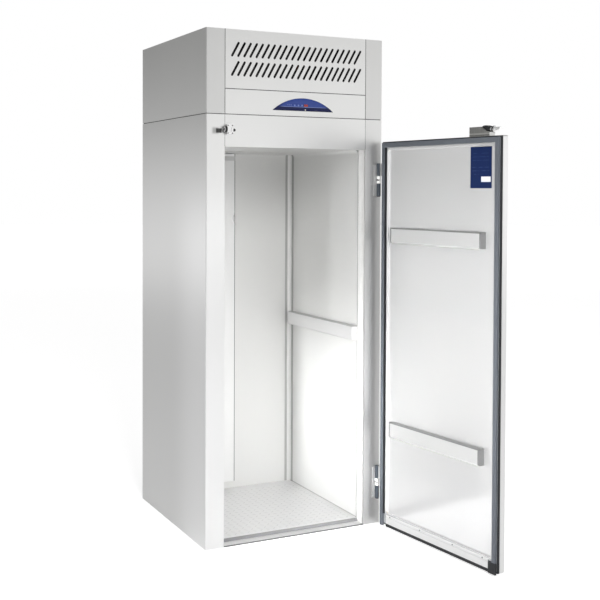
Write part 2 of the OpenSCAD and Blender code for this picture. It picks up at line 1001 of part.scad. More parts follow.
module canopy_back_panel() {
    edge = half_w - skin;
    slots = 9;
    color("silver")
        difference() {
            block([-edge, edge], [back - skin, back], [canopy_z, total_h - skin]);
            along_y(back - skin - 1, back + 1)
                for (side = [-1, 1], i = [0 : slots - 1])
                    translate([side * half_w / 2, canopy_z + (0.25 + 0.056 * i) * canopy_h])
                        capsule(0.45 * half_w, 8);
        }
}

module canopy_top_panel() {
    edge = half_w - skin;
    color("silver")
        block([-edge, edge], [front + skin, back], [total_h - skin, total_h]);
}

louvre_z = canopy_z + control_h + panel_gap / 2;
panel_x = half_open - panel_gap / 2;
slot_x = 2;

// Front panel with two rows of slanted slots; its folds end under the top panel
module louvre_panel() {
    lean = atan(slot_lean / slot_h);
    middle = (louvre_z + total_h) / 2;
    length = slot_w + (slot_h - slot_w) / cos(lean);
    pitch = (2 * (panel_x - slot_edge) - slot_w - slot_lean) / (slot_count - 1);
    color("gainsboro")
        difference() {
            union() {
                folded_sheet(panel_x, louvre_z, total_h - skin);
                block([-panel_x, panel_x], [front, front + skin],
                      [total_h - skin, total_h]);
            }
            along_y(front - 1, front + skin + 1)
                for (row = [-0.5, 0.5], i = [0 : slot_count - 1])
                    translate([slot_x + (i - (slot_count - 1) / 2) * pitch,
                               middle + row * slot_row])
                        rotate([0, 0, 90 - lean])
                            capsule(length, slot_w);
        }
}

// Places of the controller on its panel
lens_foot = canopy_z + lens_z;
lens_r = (pow(lens_w / 2, 2) + pow(lens_h, 2)) / (2 * lens_h);
band_h = 15;
case_w = 150;
case_z = [lens_foot + 6, lens_foot + lens_h - 12];
key_z = lens_foot + 24;
key_xs = [for (i = [2, 1, 0]) controller_x - 8 - 5 * key_r * i];
display = [22, 11];
display_x = controller_x + 11;

module control_panel() {
    color("gainsboro")
        difference() {
            folded_sheet(panel_x, canopy_z, louvre_z - panel_gap);
            block([controller_x - case_w / 2, controller_x + case_w / 2],
                  [front - 1, front + skin + 1], case_z);
        }
}

// Lens in the shape of a circle's segment, with a set-back band along its foot
module controller_lens() {
    color("navy")
        difference() {
            along_y(front - lens_d, front)
                translate([controller_x, lens_foot])
                    intersection() {
                        translate([0, lens_h - lens_r])
                            circle(lens_r);
                        translate([-lens_w / 2, 0])
                            square([lens_w, lens_h]);
                    }
            block([controller_x - lens_w, controller_x + lens_w],
                  [front - lens_d - 1, front - lens_d + 0.6],
                  [lens_foot - 1, lens_foot + band_h]);
            for (x = key_xs)
                rod_y(front - lens_d - 1, front + 1, x, key_z, key_r + pin_gap);
            block([display_x - display[0] / 2, display_x + display[0] / 2],
                  [front - lens_d - 1, front - lens_d + 2],
                  [key_z - display[1] / 2, key_z + display[1] / 2]);
        }
}

module controller_case() {
    gap = face_gap;
    color("dimgray")
        block([controller_x - case_w / 2 + gap, controller_x + case_w / 2 - gap],
              [front + key_travel + 0.4, condenser_y - 4], [case_z[0] + gap, case_z[1] - gap]);
    color("dimgray")
        for (side = [-1, 1])
            translate([controller_x + side * (case_w / 2 - 5), 0, 0])
                block([-3, 3], [front, front + 10], [case_z[0] + 8, case_z[1] - 8]);
}

module display_window() {
    color("darkred")
        block([display_x - display[0] / 2 + 0.1, display_x + display[0] / 2 - 0.1],
              [front - lens_d + 0.4, front - lens_d + 2],
              [key_z - display[1] / 2 + 0.1, key_z + display[1] / 2 - 0.1]);
}

module key(x) {
    color("lightsteelblue")
        rod_y(front - lens_d - key_travel - 0.4, front - 0.1, x, key_z, key_r);
}

module key_set() {
    key(key_xs[0]);
}

module key_up() {
    key(key_xs[1]);
}

module key_down() {
    key(key_xs[2]);
}

// Base of the refrigeration unit, standing on the seal strips
tray_t = 2;
tray_top = canopy_z + tray_t;

module unit_tray() {
    edge = half_w - skin;
    color("silver")
        difference() {
            block([-edge, edge], [front + fold_d, back - skin], [canopy_z, tray_top]);
            roof_openings(canopy_z - 1, tray_top + 1);
        }
}

// Finned coil on feet: a core with thin fins and the bends of its tubes at both ends
module coil(x0, width, y0, depth, z0, height) {
    pitch = width / fin_count;
    fin_t = 1.2;
    rows = floor(height / 50);
    block([x0 + 10, x0 + width - 10], [y0 + 6, y0 + depth - 6], [z0 + 4, z0 + height - 4]);
    for (i = [0 : fin_count])
        block([x0 + i * pitch - fin_t / 2, x0 + i * pitch + fin_t / 2], [y0, y0 + depth],
              [z0, z0 + height]);
    for (i = [0 : rows - 1], end = [x0, x0 + width])
        translate([end, y0 + depth / 2, z0 + (i + 0.5) * height / rows])
            rotate([90, 0, 0])
                rotate_extrude()
                    translate([10, 0])
                        circle(pipe_r);
}

condenser_x = -half_open + unit_side;
condenser_y = front + fold_d + unit_gap;
condenser_z = tray_top;
shroud_y = condenser_y + coil_d + face_gap;
fan_y = shroud_y + shroud_d + 1.2 * fan_depth;
shroud_mid = [condenser_x + coil_w / 2, condenser_z + coil_h / 2];

module condenser_coil() {
    color("silver")
        coil(condenser_x, coil_w, condenser_y, coil_d, condenser_z, coil_h);
}

// Fan housing behind the coil, with the motor on its struts
module condenser_shroud() {
    x = [condenser_x + 6, condenser_x + coil_w - 6];
    z = [condenser_z, condenser_z + coil_h];
    y = [shroud_y, shroud_y + shroud_d];
    motor_y = fan_y + 1.1 * fan_depth;
    bar_y = motor_y + 0.4 * motor_l;
    arm = 1.16 * fan_r;
    color("dimgray") {
        difference() {
            block(x, y, z);
            block([x[0] + skin, x[1] - skin], [y[0] - 1, y[1] - skin],
                  [z[0] + skin, z[1] - skin]);
            rod_y(y[0] - 1, y[1] + 1, shroud_mid[0], shroud_mid[1], 1.06 * fan_r);
        }
        rod_y(motor_y, motor_y + motor_l, shroud_mid[0], shroud_mid[1], motor_r);
        rod_y(fan_y - fan_depth / 2, motor_y, shroud_mid[0], shroud_mid[1], pin_r);
        for (up = [-1, 1])
            block([shroud_mid[0] - 8, shroud_mid[0] + 8], [y[1] - skin, bar_y],
                  [shroud_mid[1] + up * arm - 3, shroud_mid[1] + up * arm + 3]);
        block([shroud_mid[0] - 8, shroud_mid[0] + 8], [bar_y - 6, bar_y],
              [shroud_mid[1] - arm - 3, shroud_mid[1] + arm + 3]);
    }
}

// Axial fan about the Y axis at the origin: a bored hub with pitched blades
module fan(r) {
    hub_r = 0.26 * r;
    difference() {
        union() {
            rod_y(-fan_depth / 2, fan_depth / 2, 0, 0, hub_r);
            for (i = [0 : blade_count - 1])
                rotate([0, i * 360 / blade_count, 0])
                    translate([0, 0, hub_r - 4])
                        rotate([0, 0, 32])
                            linear_extrude(r - hub_r)
                                square([0.55 * r, 2], center = true);
        }
        rod_y(-fan_depth, fan_depth, 0, 0, pin_r + pin_gap);
    }
}

module condenser_fan() {
    color("black")
        translate([shroud_mid[0], fan_y, shroud_mid[1]])
            fan(fan_r);
}

comp_x = half_open - 2 * unit_side - comp_r;
comp_y = condenser_y + 1.1 * comp_r;
comp_foot = 20;

// Hermetic compressor: a domed shell with a waist flange on four feet
module compressor() {
    foot = comp_foot;
    dome = 0.45 * comp_r;
    color("black")
        translate([comp_x, comp_y, tray_top]) {
            rotate_extrude()
                intersection() {
                    translate([-comp_r, foot])
                        rounded([2 * comp_r, comp_h], dome);
                    square([comp_r, foot + comp_h]);
                }
            translate([0, 0, foot + comp_h / 2])
                cylinder(h = 6, r = comp_r + 4);
            for (a = [45 : 90 : 315])
                rotate([0, 0, a])
                    translate([comp_r - 12, 0, 0])
                        cylinder(h = foot + dome, r = 9);
        }
}

// A pipe through a list of points, each leg a cylinder and each corner a sphere
module pipe(points) {
    for (i = [0 : len(points) - 2]) {
        leg = points[i + 1] - points[i];
        length = norm(leg);
        translate(points[i])
            rotate([0, acos(leg[2] / length), atan2(leg[1], leg[0])])
                cylinder(h = length, r = pipe_r);
    }
    for (i = [1 : len(points) - 2])
        translate(points[i])
            sphere(pipe_r);
}

// Receiver tank on its saddle, and the pipes between compressor, coils and receiver
module pipework() {
    tank_y = evap_y[0] - 3 * tank_r;
    tank_z = tray_top + 1.35 * tank_r;
    tank_x = [-0.92 * tank_l, 0.08 * tank_l];
    comp_top = tray_top + comp_foot + comp_h;
    side_x = condenser_x + coil_w + 22;
    rise = 2.4 * tank_r;
    color("chocolate") {
        rod_x(tank_x[0], tank_x[1], tank_y, tank_z, tank_r);
        for (share = [0.2, 0.8])
            translate([tank_x[0] + share * tank_l, 0, 0])
                block([-10, 10], [tank_y - 0.75 * tank_r, tank_y + 0.75 * tank_r],
                      [tray_top, tank_z]);
        pipe([
            [comp_x, comp_y, comp_top], [comp_x, comp_y, comp_top + 30],
            [side_x, comp_y, comp_top + 30], [side_x, condenser_y + 10, comp_top + 30],
            [side_x, condenser_y + 10, comp_top - 20]
        ]);
        pipe([
            [0, tank_y, tank_z], [0, tank_y, tank_z + rise],
            [0, evap_y[0], tank_z + rise]
        ]);
    }
}

// Insulated box over the roof openings: five slabs that stand on the tray
evap_x = half_open - unit_side;
evap_y = [return_y[0] - evap_wall - 2, back - skin - 1.1 * unit_side];
evap_top = tray_top + evap_h;

module evaporator_housing() {
    y_in = [evap_y[0] + evap_wall, evap_y[1] - evap_wall];
    z = [tray_top, evap_top - evap_wall - split_gap];
    color("ivory") {
        block([-evap_x, evap_x], [evap_y[0], y_in[0]], z);
        block([-evap_x, evap_x], [y_in[1], evap_y[1]], z);
        both_sides()
            block([evap_x - evap_wall, evap_x], [y_in[0] + split_gap, y_in[1] - split_gap], z);
        block([-evap_x, evap_x], evap_y, [evap_top - evap_wall, evap_top]);
    }
}

evap_plate_y = supply_y[0] - 1.3 * fan_depth;
evap_fan_y = evap_plate_y + 0.85 * fan_depth;
evap_coil_x = evap_x - evap_wall - 2 * unit_side;

module evaporator_coil() {
    color("silver")
        coil(-evap_coil_x, 2 * evap_coil_x, return_y[1] + 6, evap_coil_d, tray_top,
             evap_h - evap_wall - 12);
}

// Plate between the coil and the supply opening, with the fan's motor behind it
module evaporator_fan_plate() {
    edge = evap_x - evap_wall - 1;
    z = [tray_top, evap_top - evap_wall - 2];
    middle = (z[0] + z[1]) / 2;
    motor_y = evap_fan_y + 0.85 * fan_depth;
    bar_y = motor_y + 0.16 * motor_l;
    arm = 1.13 * evap_fan_r;
    color("gray")
        difference() {
            block([-edge, edge], [evap_plate_y, evap_plate_y + skin], z);
            rod_y(evap_plate_y - 1, evap_plate_y + skin + 1, duct_middle, middle,
                  1.07 * evap_fan_r);
        }
    color("gray") {
        rod_y(motor_y, motor_y + 0.8 * motor_l, duct_middle, middle, 0.83 * motor_r);
        rod_y(evap_fan_y - fan_depth / 2, motor_y, duct_middle, middle, pin_r);
        block([duct_middle - arm - 3, duct_middle + arm + 3], [bar_y - 4, bar_y],
              [middle - 8, middle + 8]);
        for (side = [-1, 1])
            translate([duct_middle + side * arm, 0, 0])
                block([-3, 3], [evap_plate_y, bar_y], [middle - 8, middle + 8]);
    }
}

module evaporator_fan() {
    middle = tray_top + (evap_h - evap_wall - 2) / 2;
    color("black")
        translate([duct_middle, evap_fan_y, middle])
            fan(evap_fan_r);
}

left_side_panel();
right_side_panel();
back_panel();
header_panel();
roof_skin();
cabinet_foam();
roof_foam();
base_rails();
inner_liner();
ceiling_liner();
jamb_strips();
floor_base();
tread_plate();
sill_plate();
rear_duct_panel();
wall_bumper_rails();
door_skin();
door_foam();
door_break();
door_liner();
door_gasket();
door_bumpers();
sweep_retainer();
retainer_screws();
door_sweep();
blank_card();
hinge_frame_leaves();
hinge_frame_cams();
hinge_pins();
hinge_door_leaves();
hinge_door_cams();
latch_body();
latch_cap();
latch_lever();
strike_block();
strike_roller();
strike_stop();
canopy_seal();
canopy_side_panels();
canopy_back_panel();
canopy_top_panel();
louvre_panel();
control_panel();
controller_lens();
controller_case();
display_window();
key_set();
key_up();
key_down();
unit_tray();
condenser_coil();
condenser_shroud();
condenser_fan();
compressor();
pipework();
evaporator_housing();
evaporator_coil();
evaporator_fan_plate();
evaporator_fan();
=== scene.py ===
"""Looks of a roll-in refrigerator: an insulated cabinet for a wheeled rack, its open door,
the canopy over it and the unit inside. Everything is in metres in the frame of the solids:
the origin is on the ground under the middle, -Y is the front and +Z is up."""
import logging
import math
from dataclasses import dataclass
from enum import Enum
from functools import cache, cached_property
from typing import ClassVar

import bmesh
import bpy
import numpy as np
from mathutils import Matrix, Vector


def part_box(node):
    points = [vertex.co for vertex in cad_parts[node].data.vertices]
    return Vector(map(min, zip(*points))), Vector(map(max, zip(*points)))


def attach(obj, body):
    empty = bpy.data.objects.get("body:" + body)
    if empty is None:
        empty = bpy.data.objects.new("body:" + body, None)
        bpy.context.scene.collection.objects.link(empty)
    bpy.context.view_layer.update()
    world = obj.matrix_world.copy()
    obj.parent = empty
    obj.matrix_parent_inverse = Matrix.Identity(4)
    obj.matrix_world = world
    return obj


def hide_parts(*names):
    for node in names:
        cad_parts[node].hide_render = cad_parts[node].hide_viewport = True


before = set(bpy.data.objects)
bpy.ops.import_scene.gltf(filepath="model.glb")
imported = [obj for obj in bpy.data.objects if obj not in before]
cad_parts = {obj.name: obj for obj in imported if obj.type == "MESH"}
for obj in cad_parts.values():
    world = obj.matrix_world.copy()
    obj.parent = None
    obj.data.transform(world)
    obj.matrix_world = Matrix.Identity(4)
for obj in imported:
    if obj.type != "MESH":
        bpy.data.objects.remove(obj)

LOG = logging.getLogger("roll_in")
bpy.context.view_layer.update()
Span = tuple[float, float]
Triple = tuple[float, float, float]


class Val:
    """A number that varies over a surface: a socket that takes arithmetic."""

    def __init__(self, nodes: "Nodes", socket: bpy.types.NodeSocket) -> None:
        """Keeps the socket and the node tree that it belongs to."""
        self.nodes = nodes
        self.socket = socket

    def __add__(self, other: "Val | float") -> "Val":
        """Adds."""
        return self.nodes.math("ADD", self, other)

    def __sub__(self, other: "Val | float") -> "Val":
        """Subtracts."""
        return self.nodes.math("SUBTRACT", self, other)

    def __rsub__(self, other: float) -> "Val":
        """Subtracts this from a number."""
        return self.nodes.math("SUBTRACT", other, self)

    def __mul__(self, other: "Val | float") -> "Val":
        """Multiplies."""
        return self.nodes.math("MULTIPLY", self, other)

    __radd__ = __add__
    __rmul__ = __mul__

    def over(self, low: float, high: float) -> "Val":
        """Rises smoothly from 0 at low to 1 at high."""
        made = self.nodes.node("ShaderNodeMapRange", {"interpolation_type": "SMOOTHSTEP"},
                               {"Value": self, "From Min": low, "From Max": high})
        return Val(self.nodes, made.outputs["Result"])

    def within(self, low: float, high: float, soft: float) -> "Val":
        """Is 1 between low and high and falls to 0 over a soft edge outside them."""
        return self.over(low - soft, low) * (1 - self.over(high, high + soft))


class Nodes:
    """A node tree under construction."""

    def __init__(self, tree: bpy.types.NodeTree) -> None:
        """Empties the tree."""
        self.tree = tree
        tree.nodes.clear()

    def node(self, kind: str, settings: dict | None = None,
             sockets: dict | None = None) -> bpy.types.Node:
        """Adds any node.

        Args:
            kind: the node's type.
            settings: its properties, set before its sockets.
            sockets: values or links by socket name or number.

        Returns:
            The new node.
        """
        made = self.tree.nodes.new(kind)
        for key, value in (settings or {}).items():
            setattr(made, key, value)
        for key, value in (sockets or {}).items():
            self.feed(made.inputs[key], value)
        return made

    def feed(self, socket: bpy.types.NodeSocket, value: object) -> None:
        """Links a socket or Val into a socket, or sets it to a plain value."""
        value = value.socket if isinstance(value, Val) else value
        if isinstance(value, bpy.types.NodeSocket):
            self.tree.links.new(value, socket)
        elif socket.type == "RGBA" and len(value) == 3:
            socket.default_value = (*value, 1)
        else:
            socket.default_value = value

    def math(self, operation: str, a: object, b: object = 0.0) -> Val:
        """Adds a Math node on two values and returns its result."""
        made = self.node("ShaderNodeMath", {"operation": operation}, {0: a, 1: b})
        return Val(self, made.outputs[0])


class Paint(Nodes):
    """A procedural material under construction round one Principled shader."""

    def __init__(self, name: str) -> None:
        """Starts an empty node tree with a shader and an output."""
        self.material = bpy.data.materials.new(name)
        self.material.use_nodes = True
        super().__init__(self.material.node_tree)
        self.shader = self.node("ShaderNodeBsdfPrincipled")
        self.node("ShaderNodeOutputMaterial", None, {"Surface": self.shader.outputs["BSDF"]})

    @cached_property
    def coordinates(self) -> bpy.types.NodeOutputs:
        """The piece's own coordinates and its UV map."""
        return self.node("ShaderNodeTexCoord").outputs

    @cached_property
    def xyz(self) -> tuple[Val, Val, Val]:
        """The point of the surface in the piece's own coordinates."""
        return self.parts(self.coordinates["Object"])

    def parts(self, vector: bpy.types.NodeSocket) -> tuple[Val, Val, Val]:
        """Splits a vector into its three numbers."""
        made = self.node("ShaderNodeSeparateXYZ", None, {0: vector})
        return tuple(Val(self, socket) for socket in made.outputs)

    def noise(self, scale: float, stretch: Triple = (1, 1, 1), detail: float = 2.0) -> Val:
        """Smooth noise over the surface.

        Args:
            scale: waves per metre before stretching.
            stretch: factor on the coordinates of each axis.
            detail: octaves added to the first wave.

        Returns:
            A value round 0.5.
        """
        moved = self.node("ShaderNodeMapping", None, {
            "Vector": self.coordinates["Object"], "Scale": stretch})
        made = self.node("ShaderNodeTexNoise", None, {
            "Vector": moved.outputs[0], "Scale": scale, "Detail": detail})
        return Val(self, made.outputs[0])

    def cells(self, scale: float) -> Val:
        """Distance to the nearest point of a random scatter, per metre."""
        made = self.node("ShaderNodeTexVoronoi", None, {
            "Vector": self.coordinates["Object"], "Scale": scale})
        return Val(self, made.outputs["Distance"])

    def disc(self, a: Val, b: Val, inner: float, outer: float) -> Val:
        """Falls from 1 to 0 between two radii: the root of a squared plus b squared."""
        return 1 - self.math("SQRT", a * a + b * b).over(inner, outer)

    def blend(self, factor: Val, low: object, high: object) -> bpy.types.NodeSocket:
        """Mixes two colours by a factor."""
        made = self.node("ShaderNodeMix", {"data_type": "RGBA"},
                         {0: factor, 6: low, 7: high})
        return made.outputs[2]

    def vary(self, factor: Val, tone: Triple, low: float,
             high: float) -> bpy.types.NodeSocket:
        """Mixes a colour's shades from low times to high times its level."""
        return self.blend(factor, tint(tone, low), tint(tone, high))

    def bump(self, height: Val, depth: float, strength: float) -> None:
        """Raises the surface's normal by a height of up to depth metres."""
        made = self.node("ShaderNodeBump", None, {
            "Height": height, "Distance": depth, "Strength": strength})
        self.feed(self.shader.inputs["Normal"], made.outputs[0])

    def set(self, **values: object) -> None:
        """Feeds the shader's sockets, with _ for the spaces in their names."""
        for key, value in values.items():
            self.feed(self.shader.inputs[key.replace("_", " ")], value)


def tint(colour: Triple, factor: float) -> Triple:
    """The colour made lighter or darker by a factor, at most 1."""
    return tuple(min(1.0, c * factor) for c in colour)


def grey(level: float, blue: float | None = None) -> Triple:
    """A grey, with a level of its own for blue where it is warm or cold."""
    return (level, level, level if blue is None else blue)


@dataclass(frozen=True)
class DoorPlace:
    """Turns points of the shut door to where the door stands when it is open."""

    axis: Span = (0.408, -0.426)
    angle: float = math.radians(96)
    cam_slope: float = 0.35
    cam_r: float = 0.009

    @property
    def turn(self) -> np.ndarray:
        """The matrix that swings the door about +Z."""
        c, s = math.cos(self.angle), math.sin(self.angle)
        return np.array([[c, s, 0], [-s, c, 0], [0, 0, 1]])

    @property
    def rise(self) -> float:
        """Lift of the open door: the cams' slope times their radius times the angle."""
        return self.cam_slope * self.cam_r * self.angle

    def open(self, points: np.ndarray) -> np.ndarray:
        """Turns about the hinge's vertical axis, then lifts by the rise."""
        axis = np.array([*self.axis, 0.0])
        return (points - axis) @ self.turn + axis + (0, 0, self.rise)

    def shut(self, points: np.ndarray) -> np.ndarray:
        """Lowers by the rise, then turns back."""
        axis = np.array([*self.axis, 0.0])
        return (points - axis - (0, 0, self.rise)) @ self.turn.T + axis


DOOR = DoorPlace()


class Grain(Enum):
    """Direction in which a sheet was brushed, as the stretch of its noise."""

    UP = (1.0, 1.0, 0.012)
    ACROSS = (0.012, 1.0, 1.0)
    DEEP = (1.0, 0.012, 1.0)
    NONE = (1.0, 1.0, 1.0)


@dataclass(frozen=True)
class Finish:
    """The looks of one material."""

    name: str

    def paint(self, p: Paint) -> None:
        """Feeds the sockets of the material's shader."""
        raise NotImplementedError


ANY = (-9.0, 9.0)


@dataclass(frozen=True)
class Band:
    """A box with soft edges in which a sheet's colour turns to a tone."""

    x: Span
    y: Span
    z: Span
    tone: Triple
    strength: float = 1.0
    soft: float = 0.001

    def share(self, parts: tuple[Val, Val, Val]) -> Val:
        """The product of how far the point lies within the box on each bounded axis."""
        made = None
        for value, span in zip(parts, (self.x, self.y, self.z)):
            if span != ANY:
                inside = value.within(*span, self.soft)
                made = inside if made is None else made * inside
        return made * self.strength


@dataclass(frozen=True)
class Sheet(Finish):
    """Satin sheet metal: fine brushing, faint clouding, and bands of joint lines and painted
    light and shade.
    """

    tone: Triple
    roughness: float
    metallic: float = 0.9
    grain: Grain = Grain.UP
    contrast: float = 0.05
    pitch: float = 240.0
    bands: tuple[Band, ...] = ()

    def paint(self, p: Paint) -> None:
        """Brushed noise and soft clouds vary the colour, and bands are mixed over it."""
        lines = p.noise(self.pitch, self.grain.value)
        cloud = p.noise(3.1, (1, 1, 0.6), 3)
        tone = p.vary(lines * 0.6 + cloud * 0.4, self.tone, 1 - self.contrast,
                      1 + self.contrast)
        for band in self.bands:
            tone = p.blend(band.share(p.xyz), tone, band.tone)
        p.set(Base_Color=tone, Metallic=self.metallic,
              Roughness=self.roughness - 0.03 + cloud * 0.06)


@dataclass(frozen=True)
class HingeSteel(Finish):
    """Dark knuckles on a light leaf, told apart by their distance from the axis."""

    knuckle_r: float = 0.0095
    dark: Triple = (0.068, 0.084, 0.104)
    light: Triple = grey(0.62)
    worn: Triple = grey(0.30, 0.31)

    def paint(self, p: Paint) -> None:
        """The knuckles are a disc round the hinge's axis."""
        x, y, _ = p.xyz
        near = p.disc(x - DOOR.axis[0], y - DOOR.axis[1], self.knuckle_r,
                      self.knuckle_r + 0.0006)
        grain = p.noise(260, (1, 1, 0.05))
        tone = p.blend(near, self.light, self.dark)
        p.set(Base_Color=p.blend(grain * 0.2, tone, self.worn), Metallic=0.6,
              Roughness=grain * 0.1 + 0.33)


@dataclass(frozen=True)
class LatchCast(Finish):
    """Ribbed grey latch case with a light foot strip and a bright end."""

    foot: float = 1.7403
    end: float = 0.717
    leaf: Span = (0.1045, -0.9945)
    tone: Triple = grey(0.235, 0.225)

    def paint(self, p: Paint) -> None:
        """Bands follow the height over the foot and the distance from the hinge."""
        x, y, z = p.xyz
        along = (x - DOOR.axis[0]) * self.leaf[0] + (y - DOOR.axis[1]) * self.leaf[1]
        up = z - self.foot
        ribs = p.noise(190, (1, 1, 0.03), 1)
        tone = p.vary(ribs, self.tone, 0.62, 1.38)
        for share, colour in (
                (up.within(0.0065, 0.0120, 0.0010) * 0.7, grey(0.46, 0.44)),
                (up.within(0.0042, 0.0052, 0.0006) * 0.8, grey(0.05, 0.048)),
                (along.over(self.end - 0.0008, self.end - 0.0002), grey(0.72, 0.71))):
            tone = p.blend(share, tone, colour)
        p.set(Base_Color=tone, Metallic=0.6, Roughness=ribs * 0.1 + 0.33)


@dataclass(frozen=True)
class StrikePlate(Finish):
    """Bright strike block with grey screw heads and a dark rod end."""

    x: Span = (-0.3395, -0.3115)
    z: Span = (1.755, 1.797)
    rod_end: float = -0.3503
    tone: Triple = grey(0.84)

    def paint(self, p: Paint) -> None:
        """A screw is a disc round a point set in from each corner of the block."""
        x, _, z = p.xyz
        across, up = (
            p.math("ABSOLUTE", at - (low + high) / 2) - ((high - low) / 2 - inset)
            for at, (low, high), inset in ((x, self.x, 0.004), (z, self.z, 0.005)))
        cloud = p.noise(40, detail=3)
        tone = p.blend(p.disc(across, up, 0.0024, 0.0030),
                       p.vary(cloud, self.tone, 0.96, 1.04), grey(0.13, 0.14))
        rod = 1 - x.over(self.rod_end - 0.0002, self.rod_end)
        p.set(Base_Color=p.blend(rod, tone, grey(0.30, 0.31)), Metallic=0.9,
              Roughness=cloud * 0.1 + 0.22)


@dataclass(frozen=True)
class RollerEnds(Finish):
    """Black tyre with bright end discs."""

    ends: Span = (-0.350, -0.341)
    centre: Span = (-0.431, 1.776)
    disc_r: float = 0.0118

    def paint(self, p: Paint) -> None:
        """Disc where the point lies on an end face within the disc's radius."""
        x, y, z = p.xyz
        disc = p.disc(y - self.centre[0], z - self.centre[1], self.disc_r - 0.0003,
                      self.disc_r)
        face = 1 - x.within(self.ends[0] + 0.0004, self.ends[1] - 0.0004, 0.0002)
        p.set(Base_Color=p.blend(disc * face, grey(0.010, 0.011), grey(0.90)),
              Roughness=p.noise(90, detail=3) * 0.1 + 0.3)


@dataclass(frozen=True)
class Moulding(Finish):
    """Moulded plastic or rubber with a fine grain and slight wear."""

    tone: Triple
    roughness: float = 0.5
    grain_size: float = 0.0012
    depth: float = 0.00005
    coat: float = 0.0

    def paint(self, p: Paint) -> None:
        """A leathery grain from noise raises the surface; clouds vary its colour."""
        cloud = p.noise(14, detail=4)
        p.set(Base_Color=p.vary(cloud, self.tone, 0.88, 1.12),
              Roughness=self.roughness - 0.06 + cloud * 0.12, Coat_Weight=self.coat)
        p.bump(p.noise(1 / self.grain_size), self.depth, 0.6)


@dataclass(frozen=True)
class Foamed(Finish):
    """Cut insulating foam with open cells."""

    tone: Triple = (0.72, 0.58, 0.32)

    def paint(self, p: Paint) -> None:
        """Cell walls are lighter than the hollows between them."""
        cells = p.cells(620)
        p.set(Base_Color=p.vary(cells, self.tone, 1.15, 0.6), Roughness=0.9)
        p.bump(cells, 0.0006, 0.8)


@dataclass(frozen=True)
class Galvanised(Finish):
    """Zinc-coated sheet with its crystal spangle."""

    tone: Triple = (0.55, 0.57, 0.58)

    def paint(self, p: Paint) -> None:
        """Random crystals differ a little in colour and gloss."""
        spangle = p.cells(90)
        p.set(Base_Color=p.vary(spangle, self.tone, 0.9, 1.1), Metallic=0.85,
              Roughness=spangle * 0.25 + 0.32)


@dataclass(frozen=True)
class Lacquer(Finish):
    """Gloss lacquer over metal, as on a compressor shell."""

    tone: Triple = grey(0.012, 0.013)
    coat: float = 0.8

    def paint(self, p: Paint) -> None:
        """Orange-peel bump under a clear coat, with dust on it."""
        dust = p.noise(9, detail=4)
        p.set(Base_Color=p.vary(dust, self.tone, 1.0, 1.6), Roughness=dust * 0.2 + 0.25,
              Coat_Weight=self.coat)
        p.bump(p.noise(260, detail=1), 0.00008, 0.4)


@dataclass(frozen=True)
class LensBlue(Finish):
    """Glossy printed lens: blue above, with a darker band along its foot."""

    middle: float
    width: float
    foot: float
    tone: Triple = (0.030, 0.052, 0.205)
    dark: Triple = (0.006, 0.009, 0.050)
    rule: Triple = (0.22, 0.27, 0.50)

    def paint(self, p: Paint) -> None:
        """The band lies under a fixed height; the blue deepens to both ends."""
        x, _, z = p.xyz
        off = p.math("ABSOLUTE", x - self.middle)
        up = z - self.foot
        band = 1 - up.over(0.0160, 0.0166)
        line = up.within(0.0168, 0.0182, 0.0004) \
            * (1 - off.over(self.width * 0.36, self.width * 0.39))
        ends = off.over(self.width * 0.30, self.width * 0.46)
        cloud = p.noise(60)
        body = p.blend(line * 0.75, p.vary(cloud, self.tone, 0.9, 1.15), self.rule)
        p.set(Base_Color=p.blend(p.math("MAXIMUM", band, ends * 0.7), body, self.dark),
              Roughness=cloud * 0.06 + 0.2, Specular_IOR_Level=0.25)


@dataclass(frozen=True)
class CardPrint(Finish):
    """Printed plastic card: a navy ground, faint blank rules and one white field."""

    tone: Triple = (0.006, 0.018, 0.082)
    rule: Triple = (0.07, 0.12, 0.32)
    field: Triple = (0.8, 0.82, 0.85)

    def paint(self, p: Paint) -> None:
        """Rules and field are bands of the card's own UV map."""
        u, v, _ = p.parts(p.coordinates["UV"])
        rows = p.math("PINGPONG", v, 0.042)
        gaps = p.noise(55, detail=1).over(0.42, 0.56)
        rules = (1 - rows.over(0.003, 0.006)) * u.within(0.10, 0.86, 0.01) * gaps
        rules = rules * (v.within(0.31, 0.56, 0.01) * 0.8 + v.within(0.66, 0.90, 0.01) * 0.5)
        white = u.within(0.52, 0.95, 0.008) * v.within(0.155, 0.275, 0.006)
        ground = p.blend(rules * 0.5, self.tone, self.rule)
        p.set(Base_Color=p.blend(white, ground, self.field),
              Roughness=p.noise(40) * 0.1 + 0.4, Specular_IOR_Level=0.2)


@dataclass(frozen=True)
class Glow(Finish):
    """A lit display behind a tinted window."""

    tone: Triple
    strength: float

    def paint(self, p: Paint) -> None:
        """Light varies a little over each lit part."""
        cloud = p.noise(300)
        p.set(Base_Color=tint(self.tone, 0.3), Roughness=cloud * 0.1 + 0.2,
              Emission_Color=p.vary(cloud, self.tone, 0.8, 1.0),
              Emission_Strength=self.strength)


SATIN = {"contrast": 0.012, "pitch": 320}
COVE = (0.3395, 0.36)
COVE_END = (0.310, 0.3225)
# Grey of painted shade: dark reflection lines beside the liner's coved corners and a shadow line
# at the right wall's foot.
PAINTED_WALL_SHADE = grey(0.20, 0.19)


